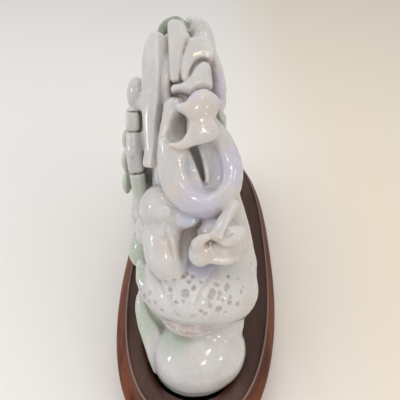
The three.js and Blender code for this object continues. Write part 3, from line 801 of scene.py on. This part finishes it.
def cut_belly(stone):
    """The swollen rock's drilled pits, its two long cuts and the fringe along its lower lip."""
    for cut in (
        [[-18.5, -80, 70], [-16.2, -84.3, 69.4], [-13.7, -88, 68], [-11.4, -90.4, 66.5], [-9.4, -92.1, 64]],
        [[4.6, -79.3, 76], [2.4, -84.1, 74.7], [0.2, -87.9, 72.7], [-1.4, -91, 69.6], [-2.4, -92.4, 67.5]],
    ):
        stone.score(cut, 0.8)
    stone.score([[-10.6, -92, 63.6], [-9, -92.7, 62.2], [-7.2, -93.2, 60.8]], 1.1, 0.8)
    stone.score([[-3.4, -93.9, 62], [-2.2, -94, 63], [-0.6, -93.8, 64]], 1.1, 0.8)
    lip = [[-12.6, -90.6, 56], [-8, -92.8, 56], [-4, -93.6, 56.4], [1, -93.8, 58], [5, -93.4, 60]]
    stone.score(lip, 0.8, 0.5)
    for x in np.arange(-13, 7, 1.7):
        stone.drill([x, -94 + 0.02 * (x + 3) ** 2, 52.4 + 0.012 * (x + 3) ** 2], 0.5)
    for x, y, z, radius in PITS:
        stone.drill([x, y, z], radius)
    for _ in range(BELLY_PITS):
        y, z = rng.uniform(*BELLY_PIT_Y), rng.uniform(*BELLY_PIT_Z)
        face = rng.choice([-1, 1])
        met = stone.strike([face * 32, y, z], [-face, 0, 0])
        if met is not None:
            stone.drill(met, rng.uniform(*BELLY_PIT_RADII))


def cut_rock_pits(stone):
    """Drilled pits in drifts over the rock's lower half, as on its near end."""
    for middle_y, middle_z, face in DRIFTS:
        for _ in range(DRIFT_PITS):
            y = middle_y + rng.normal(0, DRIFT_SPREAD_Y)
            z = middle_z + rng.normal(0, DRIFT_SPREAD_Z)
            met = stone.strike([face * 29 - (face < 0) * 15, y, z], [-face, 0, 0])
            if met is not None and met[2] > FOOT_TOP + 2:
                stone.drill(met, rng.uniform(*DRIFT_PIT_RADII))


# ---------- the foot ----------
def foot_line(count):
    """The foot's outline seen from above, as `count` points, and the directions straight out of it."""
    loop = closed_curve(FOOT_OUTLINE, 24)
    closed = np.vstack([loop, loop[:1]])
    steps = np.r_[0, np.cumsum(np.linalg.norm(np.diff(closed, axis=0), axis=1))]
    at = np.linspace(0, steps[-1], count, endpoint=False)
    line = np.c_[np.interp(at, steps, closed[:, 0]), np.interp(at, steps, closed[:, 1])]
    tangent = np.roll(line, -1, axis=0) - np.roll(line, 1, axis=0)
    normal = np.c_[tangent[:, 1], -tangent[:, 0]]
    normal /= np.linalg.norm(normal, axis=1)[:, None]
    if (line * normal).sum() < 0:
        normal = -normal
    return line, normal


def cut_foot(stone):
    """Below FOOT_TOP the jade keeps inside its foot's outline, and it is flat underneath."""
    line, _ = foot_line(120)
    x, y, z = stone.axes[0][:, None], stone.axes[1][None, :], stone.axes[2][None, None, :]
    beyond = polygon_distance(x, y, line)[:, :, None].astype(np.float32)
    stone.d = -smooth_min(-stone.d, np.maximum(z - FOOT_TOP, -beyond), 1.5)
    stone.d = -smooth_min(-stone.d, z - JADE_BOTTOM, 0.6)


def carve_jade():
    stone = Stone(GRID_LOW, GRID_HIGH)
    for shape_on in (
        add_rock, add_ledges, add_near_rock, add_bamboo, add_clouds, add_dragon_body, add_legs,
        add_dragon_head, add_cloud_bosses, add_coil, add_tail, add_fungus, cut_belly, cut_rock_pits,
    ):
        shape_on(stone)
    stone.d += HAND_WEAR * soft_noise(stone.axes, HAND_SPACING, 5)
    cut_foot(stone)
    return stone


# ---------- skinning ----------
def is_edge(a, b):
    """Whether two corners of a cell are the low and high end of one of its edges."""
    return sum(b) - sum(a) == 1 and sum(abs(p - q) for p, q in zip(a, b)) == 1


EDGES = [(a, b) for a in CORNERS for b in CORNERS if is_edge(a, b)]


def skin(stone):
    """The surface where the distance is zero: points in mm and four-sided faces, one point a grid cell."""
    d = stone.d
    solid = d < 0
    cells = [n - 1 for n in d.shape]
    count = sum(
        solid[i:i + cells[0], j:j + cells[1], k:k + cells[2]].astype(np.int8) for i, j, k in CORNERS
    )
    crossed = (count > 0) & (count < 8)
    at = np.argwhere(crossed)
    number = np.full(crossed.shape, -1, np.int32)
    number[crossed] = np.arange(len(at))
    total = np.zeros((len(at), 3))
    hits = np.zeros(len(at))
    for a, b in EDGES:
        da = d[at[:, 0] + a[0], at[:, 1] + a[1], at[:, 2] + a[2]].astype(float)
        db = d[at[:, 0] + b[0], at[:, 1] + b[1], at[:, 2] + b[2]].astype(float)
        change = (da < 0) != (db < 0)
        share = np.where(change, da / np.where(change, da - db, 1), 0)
        total += change[:, None] * (np.array(a) + share[:, None] * (np.array(b) - np.array(a)))
        hits += change
    place = at + total / hits[:, None]
    columns = [np.interp(place[:, i], np.arange(len(axis)), axis) for i, axis in enumerate(stone.axes)]
    points = np.stack(columns, 1)
    quads = []
    for axis in range(3):
        b, c = (axis + 1) % 3, (axis + 2) % 3
        low = [slice(None)] * 3
        low[axis] = slice(0, -1)
        high = [slice(None)] * 3
        high[axis] = slice(1, None)
        change = solid[tuple(low)] != solid[tuple(high)]
        edge = np.argwhere(change)
        edge = edge[(edge[:, b] > 0) & (edge[:, c] > 0)]
        ring = []
        for sb, sc in ((-1, -1), (0, -1), (0, 0), (-1, 0)):
            cell = edge.copy()
            cell[:, b] += sb
            cell[:, c] += sc
            ring.append(number[cell[:, 0], cell[:, 1], cell[:, 2]])
        ring = np.stack(ring, 1)
        outward = solid[edge[:, 0], edge[:, 1], edge[:, 2]]
        ring[~outward] = ring[~outward][:, ::-1]
        quads.append(ring)
    return points, np.vstack(quads)


def in_scene(name, data):
    """A new object in the scene, made of a mesh, camera or lamp."""
    obj = bpy.data.objects.new(name, data)
    bpy.context.scene.collection.objects.link(obj)
    return obj


def store(mesh, name, values):
    """Keeps a value for each point of a mesh, which its material reads by name."""
    mesh.attributes.new(name, "FLOAT", "POINT").data.foreach_set("value", values.astype(np.float32))


def mesh_object(name, points_mm, faces):
    """A Blender object, in metres, from points in mm and an array of equal-sided faces."""
    mesh = bpy.data.meshes.new(name)
    sides = faces.shape[1]
    mesh.vertices.add(len(points_mm))
    mesh.vertices.foreach_set("co", (np.asarray(points_mm) * MM).astype(np.float32).ravel())
    mesh.loops.add(faces.size)
    mesh.loops.foreach_set("vertex_index", faces.astype(np.int32).ravel())
    mesh.polygons.add(len(faces))
    mesh.polygons.foreach_set("loop_start", np.arange(0, faces.size, sides, dtype=np.int32))
    mesh.polygons.foreach_set("use_smooth", np.full(len(faces), True))
    mesh.update(calc_edges=True)
    mesh.validate()
    return in_scene(name, mesh)


def lighten(obj, most):
    """Collapses edges where the surface is plain until the mesh has at most `most` triangles."""
    triangles = sum(len(p.vertices) - 2 for p in obj.data.polygons)
    modifier = obj.modifiers.new("lighten", "DECIMATE")
    modifier.ratio = min(1.0, most / triangles)
    modifier.use_collapse_triangulate = True
    shaped = bpy.data.meshes.new_from_object(obj.evaluated_get(bpy.context.evaluated_depsgraph_get()))
    obj.modifiers.remove(modifier)
    old = obj.data
    shaped.name = obj.name
    obj.data = shaped
    bpy.data.meshes.remove(old)
    obj.data.shade_smooth()


def mark_hollows(obj, stone):
    """Stores how shut in each point is, 0 in the open to 1 in a deep recess. Returns the points in mm."""
    count = len(obj.data.vertices)
    points = np.empty(count * 3, np.float32)
    obj.data.vertices.foreach_get("co", points)
    normals = np.empty(count * 3, np.float32)
    obj.data.vertex_normals.foreach_get("vector", normals)
    points = points.reshape(-1, 3) / MM
    normals = normals.reshape(-1, 3)
    shut = np.zeros(count)
    for reach in HOLLOW_REACHES:
        felt = np.clip(1 - stone.sample(points + normals * reach) / reach, 0, 1)
        shut += felt / len(HOLLOW_REACHES)
    store(obj.data, "hollow", shut)
    return points


def mark_pits(obj, stone, points):
    """Stores 1 inside the drilled pits, fading to 0 a little outside them."""
    inside = np.zeros(len(points))
    for x, y, z, radius in stone.pits:
        near = np.flatnonzero(np.abs(points - (x, y, z)).max(axis=1) < 2.2 * radius)
        apart = np.linalg.norm(points[near] - (x, y, z), axis=1)
        inside[near] = np.maximum(inside[near], np.clip(2.0 - apart / radius, 0, 1))
    store(obj.data, "pit", inside)


# ---------- materials ----------
class Nodes:
    """A material's node tree, with short calls to add nodes and join them."""

    def __init__(self, name):
        self.material = bpy.data.materials.new(name)
        self.material.use_nodes = True
        self.tree = self.material.node_tree
        self.shader = self.tree.nodes["Principled BSDF"]

    def add(self, kind, inputs=None, **settings):
        node = self.tree.nodes.new(kind)
        for key, value in settings.items():
            setattr(node, key, value)
        for key, value in (inputs or {}).items():
            self.put(value, node.inputs[key])
        return node

    def put(self, value, socket):
        if isinstance(value, bpy.types.NodeSocket):
            self.tree.links.new(value, socket)
        else:
            socket.default_value = value

    def noise(self, where, scale, detail, roughness, distortion):
        inputs = {"Vector": where, "Scale": scale, "Detail": detail, "Roughness": roughness}
        inputs["Distortion"] = distortion
        return self.add("ShaderNodeTexNoise", inputs).outputs["Fac"]

    def ramp(self, value, low, high):
        """0 below low, 1 above high, smooth between."""
        node = self.add("ShaderNodeMapRange", {0: value, 1: low, 2: high, 3: 0.0, 4: 1.0})
        node.interpolation_type = "SMOOTHSTEP"
        return node.outputs["Result"]

    def math(self, operation, a, b):
        return self.add("ShaderNodeMath", {0: a, 1: b}, operation=operation).outputs["Value"]

    def times(self, a, b):
        return self.math("MULTIPLY", a, b)

    def mix(self, share, a, b):
        """Colour `a`, with `share` of colour `b` over it."""
        node = self.add("ShaderNodeMix", data_type="RGBA")
        for name, value in (("Factor_Float", share), ("A_Color", a), ("B_Color", b)):
            socket = next(s for s in node.inputs if s.identifier == name)
            self.put(value, socket)
        return next(s for s in node.outputs if s.identifier == "Result_Color")

    def near(self, where, centre, radius):
        """1 at a place in the object, fading to 0 at a radius from it. Metres."""
        apart = self.add("ShaderNodeVectorMath", {0: where, 1: centre}, operation="DISTANCE").outputs["Value"]
        return self.ramp(apart, radius, radius * 0.25)

    def surface(self, **inputs):
        """Sets the shader's inputs, whose names are given with low lines for spaces."""
        for name, value in inputs.items():
            self.put(value, self.shader.inputs[name.replace("_", " ")])

    def bump(self, height, strength, distance):
        inputs = {"Height": height, "Strength": strength, "Distance": distance}
        return self.add("ShaderNodeBump", inputs).outputs["Normal"]


JADE_WHITE = (0.470, 0.455, 0.450, 1)
JADE_CLOUD = (0.530, 0.520, 0.515, 1)
JADE_GREY = (0.400, 0.395, 0.400, 1)
JADE_LAVENDER = (0.455, 0.435, 0.540, 1)
JADE_CREAM = (0.530, 0.465, 0.420, 1)
JADE_GREEN = (0.385, 0.440, 0.365, 1)
# Dark green in the stone; the same colour also paints shade beside the low culm.
JADE_DARK_GREEN_AND_SHADE = (0.190, 0.215, 0.165, 1)
# Painted shade, partly russet in the stone: the pinkish brown the jade darkens towards in its recesses, and
# the bluish colour it darkens towards in some of them.
JADE_RECESS_SHADE_AND_RUSSET = (0.330, 0.250, 0.230, 1)
JADE_BLUE_RECESS_SHADE = (0.270, 0.280, 0.360, 1)
# Painted shade: the dark colour inside the drilled pits.
JADE_PIT_SHADE = (0.260, 0.190, 0.180, 1)
JADE_BLUE = (0.390, 0.430, 0.490, 1)
JADE_PINK = (0.400, 0.310, 0.290, 1)
JADE_FLECK = (0.80, 0.79, 0.78, 1)

# Where the stone's colours, and the tints of the shade painted in its recesses, lie: (middle in mm, radius in
# mm).
GREEN_PATCHES = [
    ((-37, -26, 112), 22), ((-38, -34, 92), 18), ((-31, -54, 62), 13), ((-26, -76, 34), 17),
    ((-27, -74, 62), 9), ((4, -42, 126), 8), ((-17, -34, 164), 10), ((-8, -93, 47), 9),
    ((-6, -88, 38), 15), ((-24, -78, 40), 14), ((-32, -44, 92), 12), ((-20, 30, 90), 46),
    ((0, 60, 50), 30),
]
# Dark green stone on the hood and the culm joints; the patch at (-26, -42, 96) is painted shade in the hollow
# right of the low culm, below the blade.
DARK_GREEN_AND_SHADE_PATCHES = [
    ((-22.8, -32, 158.5), 7), ((-18.7, -26.5, 162.5), 7), ((-13.4, -27, 160), 4), ((-33.8, -43.5, 106), 3.4),
    ((-26, -42, 96), 8), ((-35.5, -36, 121), 3.4),
]
BLUE_PATCHES = [((-5.5, -73, 96), 7), ((-8, -80, 79), 5), ((0, -78, 79), 7), ((-9, -66, 116), 5)]
PINK_PATCHES = [((-4, -94.5, 54), 7), ((4, -93.5, 56), 5), ((-12, -92, 55), 4), ((-4, -72, 88), 6)]
LAVENDER_PATCHES = [
    ((1, -42, 138), 13), ((9, -64, 117), 13), ((-9, -60, 143), 5), ((-4, -74, 104), 15), ((2, 10, 120), 34),
    ((12, -6, 46), 30), ((-8, 70, 112), 22), ((0, -76, 76), 12),
]
CREAM_PATCHES = [
    ((4, -84, 92), 12), ((-6, -64, 137), 10), ((-12, -68, 127), 6), ((-14, -78, 86), 9), ((-12, -70, 108), 7),
    ((0, -96, 40), 8), ((-20, -84, 32), 8), ((8, 40, 62), 22),
]
# Recesses where the painted shade is bluish.
BLUE_SHADE_RECESSES = [((-3, -59, 116), 13), ((-13, -58, 142), 4), ((-2, -78, 78), 7), ((-6, -72, 99), 6)]
# Recesses that grow darker and pinker the more shut in they are: partly russet in the stone, partly painted
# shade.
RECESS_RUSSET_AND_SHADE = [
    ((-6, -76, 89), 9), ((-3, -74, 93), 7), ((-4, -94, 54), 7), ((3, -93, 56), 5), ((-11, -60, 132), 6),
    ((-13, -58, 140), 5),
]


def jade_material():
    m = Nodes("polished_jade")
    where = m.add("ShaderNodeTexCoord").outputs["Object"]
    hollow = m.add("ShaderNodeAttribute", attribute_name="hollow").outputs["Fac"]
    pit = m.add("ShaderNodeAttribute", attribute_name="pit").outputs["Fac"]
    broad = m.noise(where, 45.0, 4.0, 0.55, 0.8)
    cloudy = m.noise(where, 130.0, 6.0, 0.65, 1.0)
    fine = m.noise(where, 520.0, 4.0, 0.6, 0.5)
    edge = m.times(m.math("SUBTRACT", broad, 0.5), 0.9)

    def patches(places):
        found = 0.0
        for middle, radius in places:
            found = m.math("MAXIMUM", found, m.near(where, [c * MM for c in middle], radius * MM))
        return m.ramp(m.math("ADD", found, edge), 0.15, 0.85)

    colour = m.mix(m.ramp(broad, 0.38, 0.68), JADE_WHITE, JADE_CLOUD)
    colour = m.mix(m.times(m.ramp(cloudy, 0.52, 0.75), 0.55), colour, JADE_GREY)
    for places, strength, tint in (
        (LAVENDER_PATCHES, 0.75, JADE_LAVENDER),
        (CREAM_PATCHES, 0.55, JADE_CREAM),
        (GREEN_PATCHES, 0.8, JADE_GREEN),
        (BLUE_PATCHES, 0.6, JADE_BLUE),
        (PINK_PATCHES, 0.55, JADE_PINK),
    ):
        colour = m.mix(m.times(patches(places), strength), colour, tint)
    # Dark green stone, and painted shade right of the low culm.
    colour = m.mix(patches(DARK_GREEN_AND_SHADE_PATCHES), colour, JADE_DARK_GREEN_AND_SHADE)
    # Painted shade: the more shut in a point is, the darker its colour, towards the recess colours above; in
    # the listed recesses partly russet as well.
    shut = m.ramp(hollow, 0.30, 0.95)
    russet_and_shade = m.times(patches(RECESS_RUSSET_AND_SHADE), m.ramp(hollow, 0.12, 0.45))
    shade = m.math("MAXIMUM", m.times(shut, 0.25), m.times(russet_and_shade, 0.6))
    recess = m.mix(patches(BLUE_SHADE_RECESSES), JADE_RECESS_SHADE_AND_RUSSET, JADE_BLUE_RECESS_SHADE)
    colour = m.mix(shade, colour, recess)
    # Painted shade inside the drilled pits.
    colour = m.mix(m.times(pit, 0.4), colour, JADE_PIT_SHADE)
    colour = m.mix(m.times(m.ramp(fine, 0.5, 0.8), 0.18), colour, JADE_FLECK)
    rough = m.add("ShaderNodeMapRange", {0: cloudy, 1: 0.3, 2: 0.7, 3: 0.10, 4: 0.17}).outputs["Result"]
    unevenness = m.math("ADD", fine, m.times(cloudy, 2.0))
    m.surface(
        Base_Color=colour, Roughness=m.math("ADD", rough, m.times(shut, 0.25)),
        Normal=m.bump(unevenness, 0.10, 0.0003), IOR=1.55, Subsurface_Weight=0.55,
        Subsurface_Radius=(1.0, 0.85, 0.75), Subsurface_Scale=0.0045, Coat_Weight=0.2, Coat_Roughness=0.05,
    )
    return m.material


# Painted light: one wood given two colours by which way it faces, greyer brown on top and redder on the
# sides, as light falls on them.
WOOD_TOP = ((0.072, 0.045, 0.039, 1), (0.100, 0.062, 0.052, 1))
WOOD_SIDE = ((0.075, 0.022, 0.013, 1), (0.160, 0.048, 0.024, 1))
WOOD_GRAIN = (0.012, 0.007, 0.006, 1)
# Painted highlight: the thin light line along the crest of the rim.
WOOD_RIM_HIGHLIGHT = (0.30, 0.20, 0.17, 1)
# Painted shade: near black in the stand's recess round the jade's foot.
WOOD_SEAT_SHADE = (0.009, 0.007, 0.006, 1)
RIM_HIGHLIGHT_HEIGHTS = (0.02582, 0.026)       # m: where the painted highlight along the rim's crest starts, and where it is brightest


def wood_material():
    m = Nodes("lacquered_hardwood")
    where = m.add("ShaderNodeTexCoord").outputs["Object"]
    normal = m.add("ShaderNodeNewGeometry").outputs["Normal"]
    upward = m.add("ShaderNodeSeparateXYZ", {0: normal}).outputs["Z"]
    stretched = m.add("ShaderNodeMapping", {"Vector": where, "Scale": (1.0, 0.07, 1.0)}).outputs["Vector"]
    grain = m.noise(stretched, 420.0, 6.0, 0.6, 0.8)
    bands = m.noise(stretched, 90.0, 3.0, 0.5, 1.5)
    top = m.mix(m.ramp(bands, 0.35, 0.65), *WOOD_TOP)
    side = m.mix(m.ramp(bands, 0.35, 0.65), *WOOD_SIDE)
    # Painted light: tops take the greyer colour, sides the redder one.
    colour = m.mix(m.ramp(upward, 0.9, 0.4), top, side)
    colour = m.mix(m.times(m.ramp(grain, 0.55, 0.8), 0.7), colour, WOOD_GRAIN)
    height = m.add("ShaderNodeSeparateXYZ", {0: where}).outputs["Z"]
    # Painted highlight along the rim's crest.
    colour = m.mix(m.times(m.ramp(height, *RIM_HIGHLIGHT_HEIGHTS), 0.8), colour, WOOD_RIM_HIGHLIGHT)
    # Painted shade over the recess, which the 'seat' value marks.
    seat = m.add("ShaderNodeAttribute", attribute_name="seat").outputs["Fac"]
    colour = m.mix(seat, colour, WOOD_SEAT_SHADE)
    rough = m.add("ShaderNodeMapRange", {0: grain, 1: 0.3, 2: 0.7, 3: 0.26, 4: 0.38}).outputs["Result"]
    m.surface(
        Base_Color=colour, Roughness=rough, Normal=m.bump(grain, 0.15, 0.0002), Specular_IOR_Level=0.0,
        Coat_Weight=0.3, Coat_Roughness=0.06, Coat_IOR=1.2,
    )
    return m.material


# ---------- the stand ----------
STAND_TURNS = 320
STAND_PROFILE = [
    (6, 0), (4.8, 0.5), (4.2, 1.5), (4.2, 4), (4.6, 4.8), (6.2, 5.6), (6.4, 6.6), (5.4, 7.4), (3.4, 9),
    (1.7, 10.8), (0.5, 13), (0, 15.4), (0.2, 17.8), (1.0, 20.2), (2.2, 22.6), (3.6, 24.6), (4.3, 25.5),
    (4.8, 25.9), (5.3, 26), (5.8, 25.8), (6.2, 25.3), (6.6, 24.9), (7.6, 24.7), (11, 24.3), (15, 23.9),
]
SEAT_LIP = 23.6           # mm: how high the dish is at the recess
SEAT_WALL = ((0.5, 23.55), (0.1, 23.2), (0, 22.6), (0, SEAT_FLOOR))   # (out from the wall, height)


def stand_rings():
    """The stand's surface as closed rings of points, from the middle of the underside to the seat."""
    low, high = (np.array(corner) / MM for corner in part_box("wood_stand"))
    half_x, half_y = (high - low)[:2] / 2
    edge, out = foot_line(STAND_TURNS)
    edge = edge + out * SEAT_CLEARANCE
    angles = np.arctan2(edge[:, 0] / half_x, edge[:, 1] / half_y)

    def oval(inset, z):
        power = 2 / STAND_SQUARENESS
        s, c = np.sin(angles), np.cos(angles)
        x = (half_x - inset) * np.sign(s) * np.abs(s) ** power
        y = (half_y - inset) * np.sign(c) * np.abs(c) ** power
        return np.c_[x, y, np.full(len(angles), z)]

    rings = [oval(inset, z) for inset, z in STAND_PROFILE]
    dish = rings[-1]
    lip = np.c_[edge, np.full(STAND_TURNS, SEAT_LIP)]
    for share in (0.35, 0.7):
        rings.append(dish + (lip - dish) * share)
    for outward, z in SEAT_WALL:
        rings.append(np.c_[edge + out * outward, np.full(STAND_TURNS, z)])
    return rings


def make_stand():
    """The stand as a mesh of rings, closed underneath and across the seat."""
    rings = stand_rings()
    count = STAND_TURNS
    points = np.vstack(rings + [np.array([[0, 0, 0], [0, 0, SEAT_FLOOR]])])
    faces = []
    for ring in range(len(rings) - 1):
        for i in range(count):
            j = (i + 1) % count
            faces.append((ring * count + i, ring * count + j, (ring + 1) * count + j, (ring + 1) * count + i))
    under, seat = len(points) - 2, len(points) - 1
    last = (len(rings) - 1) * count
    for i in range(count):
        j = (i + 1) % count
        faces.append((under, j, i, i))
        faces.append((seat, last + i, last + j, last + j))
    mesh = bpy.data.meshes.new("stand")
    mesh.from_pydata([tuple(p * MM) for p in points], [], [tuple(dict.fromkeys(f)) for f in faces])
    mesh.validate()
    mesh.shade_smooth()
    # Marks the recess, where the wood's material paints shade.
    in_seat = np.zeros(len(points))
    in_seat[(len(rings) - 2) * count:-2] = 1
    in_seat[-1] = 1
    store(mesh, "seat", in_seat)
    return in_scene("stand", mesh)


# ---------- camera, floor and light ----------
CAMERA_PLACE = (-0.003, -0.2035, 0.1975)
CAMERA_PITCH = 35.0       # degrees down from level
CAMERA_ROLL = 4.5         # degrees
CAMERA_SENSOR = 36        # mm
CAMERA_LENS = 37.35       # mm
FLOOR_HALF = 4.0          # m
FLOOR_NEUTRAL = (0.76, 0.735, 0.71, 1)
# Painted light: the floor's colour where warm light falls on it.
FLOOR_WARM_LIT = (0.74, 0.655, 0.545, 1)
FLOOR_TURNS = (-0.02, 0.16)           # m along X: from the one colour to the other
ROOM_COLOUR = (0.97, 0.985, 1.0, 1)
ROOM_STRENGTH = 0.80
LAMP_AIM = (0, -0.03, 0.08)
# Lamps: (name, place in m, size in m, watts, colour, whether it makes a highlight).
LAMPS = (
    ("soft_left", (-0.50, -0.30, 1.05), (0.6, 0.6), 2.8, (0.98, 0.99, 1.0), False),
    ("soft_right", (0.80, -0.45, 0.50), (0.6, 0.6), 1.6, (1.0, 0.84, 0.68), False),
    ("window", (-1.05, -0.55, 0.30), (0.07, 0.22), 1.6, (0.97, 0.99, 1.0)),
    ("front_lamp", (0.06, -0.95, 0.50), (0.05, 0.10), 0.7, (1.0, 0.98, 0.95)),
    ("right_lamp", (0.62, -0.85, 0.42), (0.04, 0.12), 0.6, (1.0, 0.97, 0.92)),
    ("warm_lamp", (0.09, -0.80, 0.95), (0.05, 0.10), 0.9, (1.0, 0.70, 0.34)),
)
CEILING_LAMPS = ((-0.25, -0.35, 1.3), (0.18, -0.2, 1.35), (0.0, 0.3, 1.4), (-0.5, 0.1, 1.2))


def make_camera():
    """A camera close above the near end, looking down along the carving and slightly rolled."""
    pitch, roll = math.radians(CAMERA_PITCH), math.radians(CAMERA_ROLL)
    forward = Vector((0, math.cos(pitch), -math.sin(pitch)))
    right = Vector((1, 0, 0))
    up = right.cross(forward)
    across = math.cos(roll) * right + math.sin(roll) * up
    above = -math.sin(roll) * right + math.cos(roll) * up
    data = bpy.data.cameras.new("camera")
    data.sensor_width = CAMERA_SENSOR
    data.lens = CAMERA_LENS
    data.clip_start = 0.01
    camera = in_scene("camera", data)
    place = Matrix((across, above, -forward)).transposed().to_4x4()
    place.translation = Vector(CAMERA_PLACE)
    camera.matrix_world = place
    bpy.context.scene.camera = camera


def make_stage():
    """A plain pale floor, neutral on the left, with warmer light painted on it on the right."""
    far = FLOOR_HALF
    mesh = bpy.data.meshes.new("floor")
    mesh.from_pydata([(-far, -far, 0), (far, -far, 0), (far, far, 0), (-far, far, 0)], [], [(0, 1, 2, 3)])
    floor = in_scene("floor", mesh)
    m = Nodes("pale_floor")
    where = m.add("ShaderNodeTexCoord").outputs["Object"]
    across = m.add("ShaderNodeSeparateXYZ", {0: where}).outputs["X"]
    colour = m.mix(m.ramp(across, *FLOOR_TURNS), FLOOR_NEUTRAL, FLOOR_WARM_LIT)
    m.surface(Base_Color=colour, Roughness=0.6)
    mesh.materials.append(m.material)


def area_light(name, place, size, power, colour, glossy=True):
    """A rectangular lamp that faces the carving. Where `glossy` is off it makes no highlight."""
    data = bpy.data.lights.new(name, "AREA")
    data.shape = "RECTANGLE"
    data.size, data.size_y = size
    data.energy = power
    data.color = colour
    light = in_scene(name, data)
    light.location = place
    light.rotation_euler = (Vector(LAMP_AIM) - Vector(place)).to_track_quat("-Z", "Y").to_euler()
    light.visible_glossy = glossy


def make_lights():
    """A pale room: soft light from both sides, and small lamps that make the highlights."""
    world = bpy.data.worlds.new("studio")
    world.use_nodes = True
    background = world.node_tree.nodes["Background"]
    background.inputs[0].default_value = ROOM_COLOUR
    background.inputs[1].default_value = ROOM_STRENGTH
    bpy.context.scene.world = world
    for lamp in LAMPS:
        area_light(*lamp)
    for number, place in enumerate(CEILING_LAMPS):
        area_light(f"ceiling_{number}", place, (0.04, 0.04), 0.3, (1.0, 0.98, 0.94))
    bpy.context.scene.view_settings.view_transform = "Standard"
    bpy.context.scene.view_settings.look = "None"


# ---------- the object ----------
make_camera()
make_stage()
make_lights()

stone = carve_jade()
points, quads = skin(stone)
jade = mesh_object("jade_skin", points, quads)
lighten(jade, MOST_TRIANGLES)
mark_pits(jade, stone, mark_hollows(jade, stone))
jade.data.materials.append(jade_material())
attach(jade, "root")
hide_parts("jade_carving")

stand = make_stand()
stand.data.materials.append(wood_material())
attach(stand, "root")
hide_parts("wood_stand")
